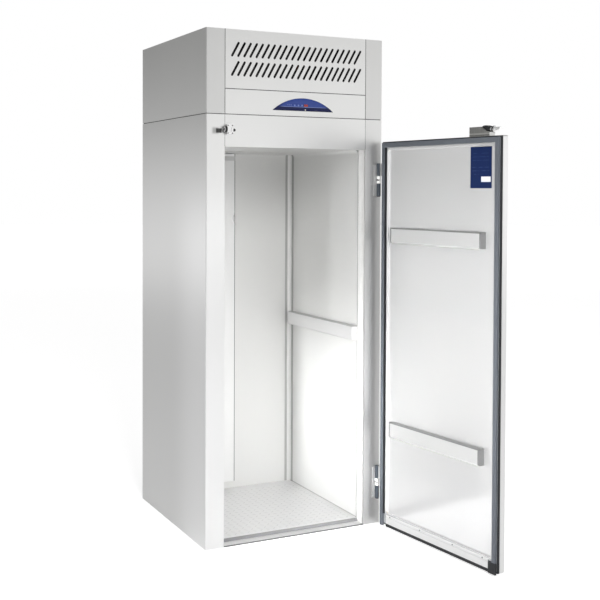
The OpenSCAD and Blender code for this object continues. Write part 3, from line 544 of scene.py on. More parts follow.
class Palette:
    """The finishes of the whole object."""

    side = Sheet("satin_side", grey(0.84, 0.835), 0.42, 1.0, **SATIN)
    side_left = Sheet(
        "satin_side_left", grey(0.84, 0.835), 0.30, 1.0, **SATIN, bands=(
            # Painted reflection: the first two bands darken the stile beside the strike roller
            # with the roller's blurred image. Painted light: the third lightens the side and
            # stile towards the front and the bottom.
            Band((-0.380, -0.360), (-0.4200, -0.4152), (1.764, 1.777), grey(0.02), 0.92, 0.006),
            Band((-0.392, -0.378), (-0.4200, -0.4152), (1.765, 1.776), grey(0.05), 0.50, 0.014),
            Band((-0.43, -0.4275), (-0.420, -0.330), (-0.5, 1.30), grey(1.0), 0.9, 0.35)))
    side_right = Sheet("satin_side_right", grey(0.86, 0.855), 0.40, 0.92, **SATIN)
    header = Sheet("satin_header", grey(0.85, 0.845), 0.32, 0.97, Grain.ACROSS, **SATIN)
    louvre = Sheet("satin_louvre", grey(0.85, 0.845), 0.32, 0.97, Grain.ACROSS, **SATIN, bands=(
        # Painted shade: everything behind the front face, the slots' cut edges among it, turns
        # near black as shade in the slots.
        Band(ANY, (-0.4157, -0.30), ANY, grey(0.004), 1.0, 0.0002),))
    skin = Sheet("satin_door", grey(0.84), 0.32, 0.90, **SATIN)
    liner = Sheet("liner_sheet", grey(0.86, 0.85), 0.32, 0.45, contrast=0.01, bands=(
        # Painted shade: the first band darkens the back wall's flat part. The next four are
        # painted reflection lines beside the coved corners, and the sixth is a painted shadow
        # line where the right wall meets the floor. The last band is a dark joint line along the
        # liner's front edge.
        Band((-0.312, 0.312), (0.3385, 0.36), ANY, grey(0.80, 0.785), 0.6, 0.004),
        Band((0.315, 0.3235), (0.3385, 0.36), ANY, PAINTED_WALL_SHADE, 0.6, 0.004),
        Band((-0.3235, -0.315), (0.3385, 0.36), ANY, PAINTED_WALL_SHADE, 0.6, 0.004),
        Band(COVE, COVE_END, ANY, PAINTED_WALL_SHADE, 0.6, 0.005),
        Band((-0.36, -0.3395), COVE_END, ANY, PAINTED_WALL_SHADE, 0.6, 0.005),
        Band(COVE, (-0.349, 0.330), (-1.0, 0.0205), PAINTED_WALL_SHADE, 0.5),
        Band(ANY, (-0.356, -0.349), ANY, grey(0.30, 0.29), 0.8, 0.002)))
    duct = Sheet("duct_sheet", grey(0.93, 0.925), 0.28, 0.5, contrast=0.01, bands=(
        # Painted light: a painted shadow line along the duct's right edge and a painted
        # highlight along its top; the third band darkens a strip just under the top.
        Band((0.0165, 0.0300), ANY, ANY, grey(0.16, 0.155), 0.8, 0.0015),
        Band((-0.33, 0.010), ANY, (1.6895, 1.71), grey(1.0), 1.0, 0.002),
        Band((-0.33, 0.018), ANY, (1.668, 1.686), grey(0.62, 0.61), 0.8, 0.004)))
    door_liner = Sheet("door_liner_sheet", grey(0.93, 0.935), 0.14, 0.66, contrast=0.008)
    rail = Sheet("rail_sheet", grey(0.86), 0.30, 0.65, Grain.NONE, 0.015, bands=(
        # Painted shadow: a dark line along the top edge of the low door rail, the wall rails and
        # the high door rail.
        Band(ANY, ANY, (0.4838, 0.50), grey(0.22), 0.8),
        Band(ANY, ANY, (0.8975, 0.91), grey(0.30), 0.6),
        Band(ANY, ANY, (1.3520, 1.36), grey(0.22), 0.8)))
    rail_cap = Sheet("rail_cap", grey(0.33), 0.36, 0.6, Grain.NONE, 0.03)
    screw = Sheet("screw_steel", grey(0.22, 0.225), 0.35, 0.7, Grain.NONE, 0.03)
    tread = Sheet("tread_sheet", grey(0.90), 0.36, 0.45, Grain.NONE, 0.02, bands=(
        # Painted shade over the tread's bevelled nose, in front of the liner's front edge.
        Band(ANY, (-0.38, -0.3550), ANY, grey(0.26, 0.265), 0.9, 0.0015),))
    tread_bar = Sheet("tread_bar", grey(0.75), 0.30, 0.7, Grain.NONE, 0.02)
    sill = Sheet("sill_sheet", grey(0.90), 0.30, 0.6, Grain.ACROSS, 0.02, bands=(
        # Painted shadow line along the sill's front edge.
        Band(ANY, (-0.43, -0.4120), ANY, grey(0.10), 0.9, 0.0015),))
    lever = Sheet("lever_plate", grey(0.90), 0.30, 0.6, Grain.NONE, 0.02)
    chrome = Sheet("bright_plate", grey(0.82, 0.83), 0.14, 1.0, Grain.NONE, 0.03, 900)
    condenser = Sheet("condenser_fins", (0.045, 0.046, 0.05), 0.5, 0.5, Grain.DEEP, 0.1, 900)
    fins = Sheet("fin_stock", (0.60, 0.61, 0.62), 0.4, 0.95, Grain.DEEP, 0.1, 900)
    copper = Sheet("copper_pipe", (0.16, 0.075, 0.045), 0.45, 0.8, Grain.NONE, 0.1, 900)
    zinc = Galvanised("zinc_sheet")
    foam = Foamed("wall_foam")
    shell = Lacquer("compressor_lacquer")
    hinge = HingeSteel("hinge_steel")
    latch = LatchCast("latch_cast")
    strike = StrikePlate("strike_zinc")
    roller = RollerEnds("roller_tyre")
    card = CardPrint("card_print")
    digit = Glow("digit_glow", (0.80, 0.02, 0.02), 0.7)
    jamb = Moulding("jamb_plastic", grey(0.82, 0.81), 0.45)
    gasket = Moulding("gasket_vinyl", (0.108, 0.120, 0.138), 0.55, 0.002)
    black = Moulding("black_rubber", (0.018, 0.019, 0.021), 0.6)
    # Black of real parts, such as the door's thermal break and the latch cap, and also painted
    # shade on the gasket's hinge-side strip and on the hinge pins.
    dark = Moulding("black_break_and_shade_strips", (0.012, 0.013, 0.015), 0.5)
    nylon = Moulding("white_nylon", grey(0.84, 0.82), 0.35, 0.002, 0.00002)
    seal = Moulding("seal_strip", grey(0.02), 0.7)
    ivory = Moulding("ivory_plastic", (0.62, 0.60, 0.52), 0.35)
    key = Moulding("key_rubber", (0.13, 0.18, 0.42), 0.4)
    plastic = Moulding("case_plastic", (0.08, 0.085, 0.09), 0.45)
    housing = Moulding("housing_shell", grey(0.16, 0.155), 0.55)
    shroud = Moulding("shroud_enamel", grey(0.03, 0.032), 0.4)
    fan = Moulding("fan_plastic", grey(0.02, 0.022), 0.4)
    window = Moulding("display_glass", (0.05, 0.006, 0.012), 0.15, 0.01, 0.0, 0.7)
    pip = Moulding("pip_print", (0.16, 0.20, 0.40), 0.4)


@cache
def material_of(finish: Finish) -> bpy.types.Material:
    """The material of a finish, made once."""
    p = Paint(finish.name)
    finish.paint(p)
    return p.material


def link(name: str, data: bpy.types.ID) -> bpy.types.Object:
    """A new object in the scene."""
    made = bpy.data.objects.new(name, data)
    bpy.context.scene.collection.objects.link(made)
    return made


def shape(name: str, points: np.ndarray, loops: str = "v", caps: tuple[int, ...] = (0, -1),
          smooth: float = 35.0) -> bpy.types.Object:
    """Puts grids of points into one mesh object.

    Point (i, j) of a grid is joined to (i+1, j) and (i, j+1). Doubles are merged,
    faces are turned outwards and edges under the smooth angle are shaded softly.

    Args:
        name: the object's name.
        points: array (copies, rows, columns, 3) or (rows, columns, 3), in metres.
        loops: directions that close on themselves: u for rows, v for columns.
        caps: rows that are filled with one face each.
        smooth: angle in degrees over which an edge stays sharp.

    Returns:
        The new object.
    """
    points = points if points.ndim == 4 else points[None]
    index = np.arange(points[..., 0].size).reshape(points.shape[:3])
    base, down = index, np.roll(index, -1, 1)
    if "u" not in loops:
        base, down = base[:, :-1], down[:, :-1]
    quads = np.stack([base, down, np.roll(down, -1, 2), np.roll(base, -1, 2)], -1)
    if "v" not in loops:
        quads = quads[:, :, :-1]
    faces = quads.reshape(-1, 4).tolist()
    for row in caps:
        faces += index[:, row].tolist()
    mesh = bpy.data.meshes.new(name)
    mesh.from_pydata(points.reshape(-1, 3), [], faces)
    work = bmesh.new()
    work.from_mesh(mesh)
    bmesh.ops.remove_doubles(work, verts=work.verts, dist=2e-6)
    bmesh.ops.dissolve_degenerate(work, edges=work.edges, dist=1e-7)
    bmesh.ops.recalc_face_normals(work, faces=work.faces)
    work.to_mesh(mesh)
    work.free()
    mesh.shade_smooth()
    mesh.set_sharp_from_angle(angle=math.radians(smooth))
    made = link(name, mesh)
    made.modifiers.new("weighted_normals", "WEIGHTED_NORMAL").keep_sharp = True
    return made


def bore(obj: bpy.types.Object, cutter: bpy.types.Object) -> None:
    """Cuts a closed cutter out of a piece, and takes the cutter away."""
    cut = obj.modifiers.new("bore", "BOOLEAN")
    cut.operation, cut.solver, cut.object = "DIFFERENCE", "EXACT", cutter
    obj.modifiers.move(len(obj.modifiers) - 1, 0)
    seen = obj.evaluated_get(bpy.context.evaluated_depsgraph_get())
    mesh = bpy.data.meshes.new_from_object(seen)
    obj.modifiers.clear()
    obj.data = mesh
    bpy.data.objects.remove(cutter)


def add(obj: bpy.types.Object, finish: Finish, body: str = "cabinet",
        node: str = "") -> bpy.types.Object:
    """Gives a piece its finish and its body, and the solid that it stands for.

    Args:
        obj: the finished piece.
        finish: its finish.
        body: the body that it moves with.
        node: the solid that it replaces, if any.

    Returns:
        The piece.
    """
    obj.data.materials.append(material_of(finish))
    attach(obj, body)
    if node:
        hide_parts(node)
    LOG.info("%s rides on %s: %d faces, for %s", obj.name, body, len(obj.data.polygons),
             node or "no solid")
    return obj


def piece(name: str, points: np.ndarray, finish: Finish, body: str = "cabinet",
          node: str = "", **form: object) -> bpy.types.Object:
    """Shapes points, which on the door are those of the shut door, and adds the piece.

    Args:
        name, points: as for shape, which also takes form.
        finish, body, node: as for add.

    Returns:
        The piece.
    """
    points = points if body == "cabinet" else DOOR.open(points)
    return add(shape(name, points, **form), finish, body, node)


def blocks(name: str, boxes: object, r: float, finish: Finish, body: str = "cabinet",
           node: str = "", steps: int = 3) -> bpy.types.Object:
    """One piece of blocks with rounded edges.

    Each point is the nearest corner of the box shrunk by r, plus r times a unit
    vector that runs over a sphere octant by octant.

    Args:
        name, finish, body, node: as for piece.
        boxes: low and high X, Y and Z of each block.
        r: radius of the edges.
        steps: segments of each quarter turn.

    Returns:
        The piece.
    """
    box = np.asarray(boxes, float)[..., None, None, :, :]
    low, high = box[..., 0], box[..., 1]
    quarter = np.linspace(0, math.pi / 2, steps + 1)
    turn = (quarter + np.arange(4)[:, None] * math.pi / 2).ravel()
    rise = np.concatenate([quarter - math.pi / 2, quarter])[:, None]
    n = np.stack(np.broadcast_arrays(np.cos(rise) * np.cos(turn), np.cos(rise) * np.sin(turn),
                                     np.sin(rise)), -1)
    sides = (np.repeat(signs, steps + 1) for signs in ([1, -1, -1, 1], [1, 1, -1, -1]))
    s = np.stack(np.broadcast_arrays(*sides, np.repeat([-1, 1], steps + 1)[:, None]), -1)
    points = (low + high) / 2 + s * ((high - low) / 2 - r) + n * r
    return piece(name, points, finish, body, node)


def arc(centre: Span, r: float, start: float, end: float, steps: int = 5) -> np.ndarray:
    """Points of a circle's arc between two angles in degrees, (steps + 1, 2)."""
    turn = np.radians(np.linspace(start, end, steps + 1))
    return np.stack([centre[0] + r * np.cos(turn), centre[1] + r * np.sin(turn)], -1)


def rectangle(x: Span, z: Span, r: float) -> np.ndarray:
    """Closed path of a rectangle with rounded corners, anticlockwise, (n, 2)."""
    corners = ((x[1] - r, z[1] - r), (x[0] + r, z[1] - r), (x[0] + r, z[0] + r),
               (x[1] - r, z[0] + r))
    return np.vstack([arc(at, r, 90 * k, 90 * k + 90, 6) for k, at in enumerate(corners)])


def carry(path: np.ndarray, profile: np.ndarray) -> np.ndarray:
    """Carries a profile along an open path in the X-Z plane, with mitred corners.

    The point for path point k and profile point (a, b) is the path point plus a
    times the mitre vector to the left of the path, at depth y = b. The mitre
    vector is the sum of the two legs' normals over 1 plus their product.

    Args:
        path: (n, 2) points in X and Z, with no point twice.
        profile: (m, 2) distances to the left of the path, and depths along Y.

    Returns:
        Points (n, m, 3).
    """
    legs = np.diff(path, axis=0)
    legs /= np.linalg.norm(legs, axis=1, keepdims=True)
    left = np.stack([-legs[:, 1], legs[:, 0]], -1)
    normal, before = np.vstack([left, left[-1:]]), np.vstack([left[:1], left])
    mitre = (normal + before) / (1 + (normal * before).sum(1, keepdims=True))
    flat = path[:, None] + profile[None, :, :1] * mitre[:, None]
    depth = np.broadcast_to(profile[None, :, 1:], flat.shape[:2] + (1,))
    return np.concatenate([flat[..., :1], depth, flat[..., 1:]], -1)


def nested(x: Span, z: Span, rings: np.ndarray) -> np.ndarray:
    """Nested rounded rectangles on the shut door.

    Ring k is the rectangle drawn in by its inset, more at the foot by its foot inset,
    with its own corner radius, at its own depth along Y.

    Args:
        x: left and right edge of the outermost rectangle.
        z: its lowest and highest edge.
        rings: (m, 4) insets, depths, corner radii and foot insets.

    Returns:
        Points (m, n, 3).
    """
    made = []
    for inset, depth, radius, foot in rings:
        flat = rectangle((x[0] + inset, x[1] - inset), (z[0] + inset + foot, z[1] - inset),
                         radius)
        made.append(np.column_stack([flat[:, 0], np.full(len(flat), depth), flat[:, 1]]))
    return np.stack(made)


def prism(outline: np.ndarray, start: float, end: float, edge: float) -> np.ndarray:
    """Carries a closed outline (n, 2) along its third axis, with eased end edges.

    The four rows lie at start, start + edge, end - edge and end; the end rows are
    drawn in towards the outline's middle by the edge width.

    Returns:
        Points (4, n, 3) as (first, second, third) coordinates.
    """
    low, high = outline.min(0), outline.max(0)
    middle = (low + high) / 2
    inner = middle + (outline - middle) * (1 - 2 * edge / (high - low))
    rows = [(inner, start), (outline, start + edge), (outline, end - edge), (inner, end)]
    return np.stack([np.column_stack([o, np.full(len(o), t)]) for o, t in rows])


def round_outline(corners: list[Span], r: float, steps: int = 2) -> np.ndarray:
    """Rounds each corner of a closed outline.

    A corner is replaced by a quadratic curve between the points at distance r
    before and after it, with the corner as its control point.

    Returns:
        Points (n * (steps + 1), 2).
    """
    outline = np.array(corners)
    ends = []
    for step in (1, -1):
        leg = np.roll(outline, step, 0) - outline
        length = np.linalg.norm(leg, axis=1, keepdims=True)
        ends.append((outline + leg / length * np.minimum(r, length * 0.45))[:, None])
    t = np.linspace(0, 1, steps + 1)[None, :, None]
    curve = (1 - t) ** 2 * ends[0] + 2 * t * (1 - t) * outline[:, None] + t ** 2 * ends[1]
    return curve.reshape(-1, 2)


def lathe(profile: np.ndarray, steps: int) -> np.ndarray:
    """Turns a profile (m, 2) of radii and heights about +Z: (m, steps, 3)."""
    turn = np.linspace(0, 2 * math.pi, steps, endpoint=False)
    r, h = profile[:, :1], profile[:, 1:]
    return np.stack(np.broadcast_arrays(r * np.cos(turn), r * np.sin(turn), h), -1)


def place(points: np.ndarray, at: Triple, x: Triple, y: Triple, z: Triple) -> np.ndarray:
    """Sets points from their own axes into the frame: at + x, y, z times coordinates."""
    return np.asarray(at) + points @ np.array([x, y, z], float)


def screw_heads(places: np.ndarray, r: float) -> np.ndarray:
    """Pan heads with a dimple for the driver, facing +Y at (n, 3) places.

    The profile is part of an ellipse up to 0.55 r, then a cone down into the head.

    Returns:
        Points (n, rows, columns, 3).
    """
    turn = np.linspace(0, 0.75 * math.pi / 2, 5)
    crown = np.stack([np.cos(turn), 0.55 * np.sin(turn) / math.sin(turn[-1])], -1)
    dimple = [[0.34, 0.5], [0.2, 0.22], [0.001, 0.2]]
    turned = lathe(r * np.vstack([crown, dimple]), 14)
    return places[:, None, None, :] + place(turned, (0, 0, 0), (1, 0, 0), (0, 0, -1), (0, 1, 0))


def rail_outline(height: float, depth: float, r: float) -> np.ndarray:
    """Section of a bumper rail in depth and height, with two rounded front corners."""
    top = height / 2
    return np.vstack([[[0, -top]], arc((depth - r, r - top), r, -90, 0, 6),
                      arc((depth - r, top - r), r, 0, 90, 6), [[0, top]]])


def rail_points(length: float, height: float = 0.066, depth: float = 0.029,
                ease: float = 0.003) -> np.ndarray:
    """A bumper rail along its own X, standing off +Y, centred in Z.

    Rows near both ends are drawn in by a quarter circle of the ease, so that the
    ends are softly closed.

    Returns:
        Points (rows, columns, 3).
    """
    t = np.linspace(0, math.pi / 2, 5)
    inset, along = ease * (1 - np.sin(t)), ease * (1 - np.cos(t))
    inset = np.concatenate([inset, inset[::-1]])[:, None]
    along = np.concatenate([along, length - along[::-1]])
    half = np.array([depth, height]) / 2
    centre = half * (1, 0)
    yz = centre + (rail_outline(height, depth, 0.006) - centre) * (1 - inset / half)[:, None]
    yz[..., 0] = np.maximum(yz[..., 0] - inset, 0)
    return np.concatenate([np.broadcast_to(along[:, None, None], (*yz.shape[:2], 1)), yz], -1)


def rail_cap(at: Triple, side: int) -> np.ndarray:
    """Moulded cap over a door rail's end, just outside the rail all round.

    It is the rail's own outline carried over 9 mm, with eased edges.
    """
    outline = rail_outline(0.0662, 0.0291, 0.0062) + at[1:]
    rows = prism(outline, at[0] - side * 0.0003, at[0] + side * 0.0085, side * 0.0008)
    rows[[0, 3], :, 0] = np.maximum(rows[[0, 3], :, 0], at[1])
    return rows[..., [2, 0, 1]]


class Assembly:
    """A group of pieces that belong together."""

    coats: ClassVar[dict[Finish, str]] = {}

    def build(self) -> None:
        """Makes the pieces, and gives their finish to the solids that stay."""
        self.make()
        for finish, nodes in self.coats.items():
            for node in nodes.split():
                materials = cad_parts[node].data.materials
                materials.clear()
                materials.append(material_of(finish))
                LOG.info("%s is dressed in %s", node, finish.name)

    def make(self) -> None:
        """Makes the pieces that take the place of solids or add to them."""


@dataclass
class Cabinet(Assembly):
    """Outer sheets, liner and floor of the insulated body."""

    coats = {Palette.side_left: "left_side_panel", Palette.side_right: "right_side_panel",
             Palette.header: "header_panel", Palette.foam: "cabinet_foam roof_foam",
             Palette.zinc: "back_panel roof_skin base_rails floor_base",
             Palette.liner: "ceiling_liner", Palette.jamb: "jamb_strips",
             Palette.sill: "sill_plate", Palette.duct: "rear_duct_panel"}
    half_open: float = 0.343
    front: float = -0.354
    back: float = 0.342
    floor_h: float = 0.016
    opening_h: float = 1.704
    cove: float = 0.026
    ceiling_cove: float = 0.016
    liner_t: float = 0.0012
    tread_t: float = 0.0025
    nose: float = 0.012
    tread_pitch: float = 0.031
    bar: Triple = (0.0115, 0.0031, 0.0011)
    rail_z: float = 0.867

    def make(self) -> None:
        """Makes the cabinet's pieces."""
        self.liner()
        self.tread()
        self.tread_bars()
        self.rails()

    def plan(self, front: float, gap: float = 0.0) -> np.ndarray:
        """U-shaped plan with coved rear corners, a gap inside the liner, (n, 2)."""
        h, b, r = self.half_open - gap, self.back - gap, self.cove
        return np.vstack([[[h, front]], arc((h - r, b - r), r, 0, 90, 8),
                          arc((r - h, b - r), r, 90, 180, 8), [[-h, front]]])

    def liner(self) -> None:
        """Walls of the liner: the plan carried up, drawn in at the top.

        At height z the plan is offset inwards by the ceiling cove's radius times one
        minus the cosine of the arc's angle.
        """
        c = self.ceiling_cove
        inner = np.vstack([[[0, self.floor_h]],
                           arc((c, self.opening_h - c), c, 180, 90, 6)])
        outer = inner[::-1] * (0, 1) - (self.liner_t, 0)
        points = carry(self.plan(self.front), np.vstack([inner, outer]))[..., [0, 2, 1]]
        piece("liner_walls", points, Palette.liner, node="inner_liner")

    def tread(self) -> None:
        """Tread plate: a folded plate with a bevelled nose, and its coved rear edge."""
        f, end, top = self.front, self.back - self.cove - 0.002, self.floor_h
        nose, under = f - self.nose, top - self.tread_t
        plate = np.array([
            [nose, 0.0], [nose, 0.003], [nose + 0.001, 0.004], [f - 0.001, top - 0.0005],
            [f + 0.001, top], [end, top], [end, under], [f, under], [f, 0.0]])
        half = self.half_open - 0.0002
        piece("tread_sheet_plate", prism(plate, -half, half, 0.0002)[..., [2, 0, 1]],
              Palette.tread, node="tread_plate")
        gap = 0.0003
        strip = self.plan(self.back - gap - self.cove - 0.004, gap)
        piece("tread_rear_edge", prism(strip, under + 0.0001, top, 0.0002), Palette.tread)

    def tread_bars(self) -> None:
        """Low lens-shaped bars in alternate diagonals.

        A bar's height is its crown times one minus the square of the distance from
        its middle line, and its width narrows to both ends as a circle's arc does.
        """
        p = self.tread_pitch
        n = int((2 * self.half_open - 0.02) / p)
        m = int((self.back - self.front - 0.07) / p)
        i, j = (k.ravel()[:, None, None]
                for k in np.meshgrid(np.arange(n), np.arange(m), indexing="ij"))
        turn = np.where((i + j) % 2 == 0, 1, -1) * math.pi / 4
        u, v = np.linspace(-1, 1, 7)[:, None], np.linspace(-1, 1, 5)
        length, width, crown = self.bar
        a, b = length * u, width * v * (1 - 0.9 * u ** 2)
        height = self.floor_h + crown * (1 - v ** 2) * (1 - u ** 4) - 0.0001
        c, s = np.cos(turn), np.sin(turn)
        points = np.stack(np.broadcast_arrays(
            (i - (n - 1) / 2) * p + c * a - s * b,
            self.front + 0.015 + (j + 0.5) * p + s * a + c * b, height), -1)
        piece("tread_bars", points, Palette.tread_bar, loops="", caps=())

    def rails(self) -> None:
        """Wall rails: rounded channels with closed ends, one on each wall."""
        for side, name in ((-1, "wall_rail_left"), (1, "wall_rail_right")):
            low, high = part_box("wall_bumper_rails")
            at = (side * self.half_open, low.y, self.rail_z)
            points = place(rail_points(high.y - low.y), at, (0, 1, 0), (-side, 0, 0), (0, 0, 1))
            piece(name, points, Palette.rail, node="wall_bumper_rails" if side < 0 else "")


@dataclass
class Door(Assembly):
    """The door with its liner, gasket, bumpers, sweep and card."""

    coats = {Palette.foam: "door_foam", Palette.dark: "door_break"}
    half: float = 0.381
    top: float = 1.735
    bottom: float = 0.006
    outer_y: float = -0.4625
    flange_y: float = -0.4265
    dish_y: float = -0.4385
    pan_edge: float = 0.027
    pan_bend: float = 0.003
    liner_foot: float = 0.014
    flange_w: float = 0.032
    gasket_x: float = 0.375
    gasket_top: float = 1.729
    gasket_w: float = 0.0215
    gasket_t: float = 0.010
    mitre_leg: float = 0.034
    rail_x: Span = (-0.285, 0.301)
    sweep_x: Span = (-0.333, 0.336)
    card: tuple[Span, Span] = ((-0.315, -0.191), (1.527, 1.694))

    def make(self) -> None:
        """Makes the door's pieces."""
        self.pan()
        self.liner()
        self.gasket()
        self.lip()
        self.bumpers()
        self.foot()
        self.blank_card()

    def pan(self) -> None:
        """Outer pan: its lip, its wall, a bend and the flat face."""
        y0, y1, r = self.outer_y, self.outer_y + self.pan_edge, self.pan_bend
        edge = np.vstack([[[0.0015, y1 - 0.004], [0.0015, y1], [0.0, y1]],
                          arc((r, y0 + r), r, 180, 270), [[0.02, y0]]])
        rings = np.column_stack([edge, np.full(len(edge), 0.005), np.zeros(len(edge))])
        piece("door_pan", nested((-self.half, self.half), (self.bottom, self.top), rings),
              Palette.skin, "door", "door_skin", caps=(-1,))

    def liner(self) -> None:
        """Inner liner: a flange, a rounded step down its wall and the flat dish."""
        f, d, w = self.flange_y, self.dish_y, self.flange_w
        lip, bowl = 0.003, 0.006
        edge = np.vstack([
            [[0.0, f - 0.0012], [0.0, f], [w - 0.008, f]],
            arc((w - lip, f - lip), lip, 90, 20, 4),
            arc((w + 0.0045, d + bowl), bowl, 200, 270), [[w + 0.03, d]]])
        radius = np.interp(edge[:, 0], [0, w - 0.01, w, w + 0.005], [0.003, 0.012, 0.012, 0.008])
        foot = np.interp(edge[:, 0], [0.01, w - 0.01], [0.0, 0.014])
        points = nested((-self.gasket_x, self.gasket_x), (self.liner_foot, self.gasket_top),
                        np.column_stack([edge, radius, foot]))
        piece("door_inner_liner", points, Palette.door_liner, "door", "door_liner", caps=(-1,))

    def gasket(self) -> None:
        """Magnetic gasket: bellows and a soft head, carried up, across and down.

        The profile is a foot, a waist and a rounded head; the corners are mitred.
        """
        t, w, f, r = self.gasket_t, self.gasket_w, self.flange_y, 0.0022
        half = np.vstack([[[0.001, 0], [0.001, 0.0018], [0.0035, 0.0032], [0.0035, 0.0042],
                           [0.0006, 0.0058]], arc((r, t - r), r, 180, 90, 4)])
        crown = [[w * 0.25, t], [w * 0.3, t - 0.0004], [w * 0.7, t - 0.0004], [w * 0.75, t]]
        profile = np.vstack([half, crown, half[::-1] * (-1, 1) + (w, 0)]) + (0, f)
        x, top, leg = self.gasket_x, self.gasket_top, self.mitre_leg
        path = np.array([[x, 0.030], [x, top - leg], [x, top], [x - leg, top],
                         [leg - x, top], [-x, top], [-x, top - leg], [-x, 0.048]])
        piece("door_seal", carry(path, profile), Palette.gasket, "door", "door_gasket",
              smooth=50)
        blocks("door_seal_foot", ((x - w, x), (f, f + t), (0.0015, 0.0305)), 0.0025,
               Palette.gasket, "door")

    def lip(self) -> None:
        """Painted shade: a black strip over the gasket's inner flank and its foot on the hinge
        side, where that flank lies in shade.
        """
        x, f = self.gasket_x - self.gasket_w, self.flange_y
        outline = round_outline([
            (x + 0.0003, f + 0.0001), (x + 0.0003, f + 0.0086), (x - 0.0009, f + 0.0086),
            (x - 0.0012, f + 0.0016), (x - 0.0058, f + 0.0009), (x - 0.0064, f + 0.0001)],
            0.0005)
        points = prism(outline, 0.0565, self.gasket_top - self.gasket_w - 0.0005, 0.0002)
        piece("gasket_shade_strip", points, Palette.dark, "door")

    def bumpers(self) -> None:
        """The two bumper rails across the dish, with a cap on each end."""
        free, hinge = self.rail_x
        for name, z, node in (("door_rail_low", 0.448, "door_bumpers"),
                              ("door_rail_high", 1.317, "")):
            points = place(rail_points(hinge - free), (hinge, self.dish_y, z), (-1, 0, 0),
                           (0, 1, 0), (0, 0, 1))
            piece(name, points, Palette.rail, "door", node)
            for end, x, side in (("free", free, 1), ("hinge", hinge, -1)):
                piece(f"{name}_cap_{end}", rail_cap((x, self.dish_y, z), side),
                      Palette.rail_cap, "door")

    def foot(self) -> None:
        """Sweep retainer with its screws, the rubber sweep and its end block."""
        f, (start, end) = self.flange_y, self.sweep_x
        self.strip("sweep_bar", [
            (f + 0.0001, 0.015), (f + 0.004, 0.015), (f + 0.004, 0.042),
            (f + 0.0012, 0.043), (f + 0.0012, 0.054), (f + 0.0001, 0.054)],
            0.0006, 0.0003, Palette.rail, "sweep_retainer")
        share = np.array([0.006, 0.06, 0.33, 0.648, 0.96])
        at = np.stack([start + share * (end - start), 0 * share + f + 0.0012,
                       0 * share + 0.048], -1)
        piece("sweep_bar_screws", screw_heads(at, 0.0036), Palette.screw, "door",
              "retainer_screws", caps=())
        self.strip("sweep_lip", [
            (f, 0.015), (f + 0.001, 0.006), (f + 0.002, 0.0015), (f + 0.004, 0.0015),
            (f + 0.005, 0.005), (f + 0.004, 0.015)],
            0.0008, 0.0002, Palette.black, "door_sweep")
        blocks("sweep_end_block", ((-0.375, -0.3332), (f, f + 0.010), (0.0015, 0.0478)),
               0.002, Palette.black, "door")

    def strip(self, name: str, corners: list[Span], r: float, edge: float, finish: Finish,
              node: str) -> None:
        """A strip along the door's foot: a section in Y and Z with rounded corners."""
        rows = prism(round_outline(corners, r), *self.sweep_x, edge)
        piece(name, rows[..., [2, 0, 1]], finish, "door", node)

    def blank_card(self) -> None:
        """Thin card with rounded corners and its own UV map over its face."""
        x, z = self.card
        rings = np.array([[0.0, 0.0001, 0.003, 0], [0.0, 0.0006, 0.003, 0],
                          [0.0003, 0.0008, 0.003, 0], [0.004, 0.0008, 0.003, 0]])
        points = nested(x, z, rings + (0, self.dish_y, 0, 0))
        made = piece("card_blank", points, Palette.card, "door", "blank_card", caps=(-1,))
        mesh = made.data
        shut = DOOR.shut(np.array([vertex.co for vertex in mesh.vertices]))
        uv = (shut[:, [0, 2]] - (x[1], z[0])) / (x[0] - x[1], z[1] - z[0])
        loops = [loop.vertex_index for loop in mesh.loops]
        mesh.uv_layers.new(name="card").data.foreach_set("uv", uv[loops].ravel())


@dataclass
class Hinges(Assembly):
    """The two cam-lift hinges."""

    # The pins take the black finish as painted shade, so that the gaps between the cams read
    # dark.
    coats = {Palette.hinge: "hinge_frame_leaves hinge_door_leaves",
             Palette.nylon: "hinge_frame_cams hinge_door_cams", Palette.dark: "hinge_pins"}


@dataclass
class Latch(Assembly):
    """The latch on the door's top edge and the strike on the cabinet."""

    coats = {Palette.latch: "latch_body", Palette.dark: "latch_cap",
             Palette.lever: "latch_lever", Palette.strike: "strike_block",
             Palette.roller: "strike_roller", Palette.black: "strike_stop"}
    lever_y: float = -0.452
    lever_z: float = 1.762
    boss_r: Span = (0.0082, 0.0118)
    boss_x: Span = (-0.3075, -0.3165)

    def make(self) -> None:
        """Bright disc with a black ring on the lever's shaft, beside the latch case.

        The disc is a lathe profile with rounded rims; the ring sits round its middle.
        """
        (inner, r), (x0, x1) = self.boss_r, self.boss_x
        disc = [[inner, x0], [r - 0.001, x0], [r, x0 - 0.001], [r, x1 + 0.001],
                [r - 0.001, x1], [inner, x1]]
        ring = [[r - 0.0004, x0 - 0.0022], [r + 0.0014, x0 - 0.0026],
                [r + 0.0014, x0 - 0.0058], [r - 0.0004, x0 - 0.0062]]
        for name, profile, finish in (("lever_boss", disc, Palette.chrome),
                                      ("lever_boss_ring", ring, Palette.dark)):
            points = place(lathe(np.array(profile), 40), (0.0, self.lever_y, self.lever_z),
                           (0, 1, 0), (0, 0, 1), (1, 0, 0))
            piece(name, points, finish, "latch_lever", loops="uv", caps=())


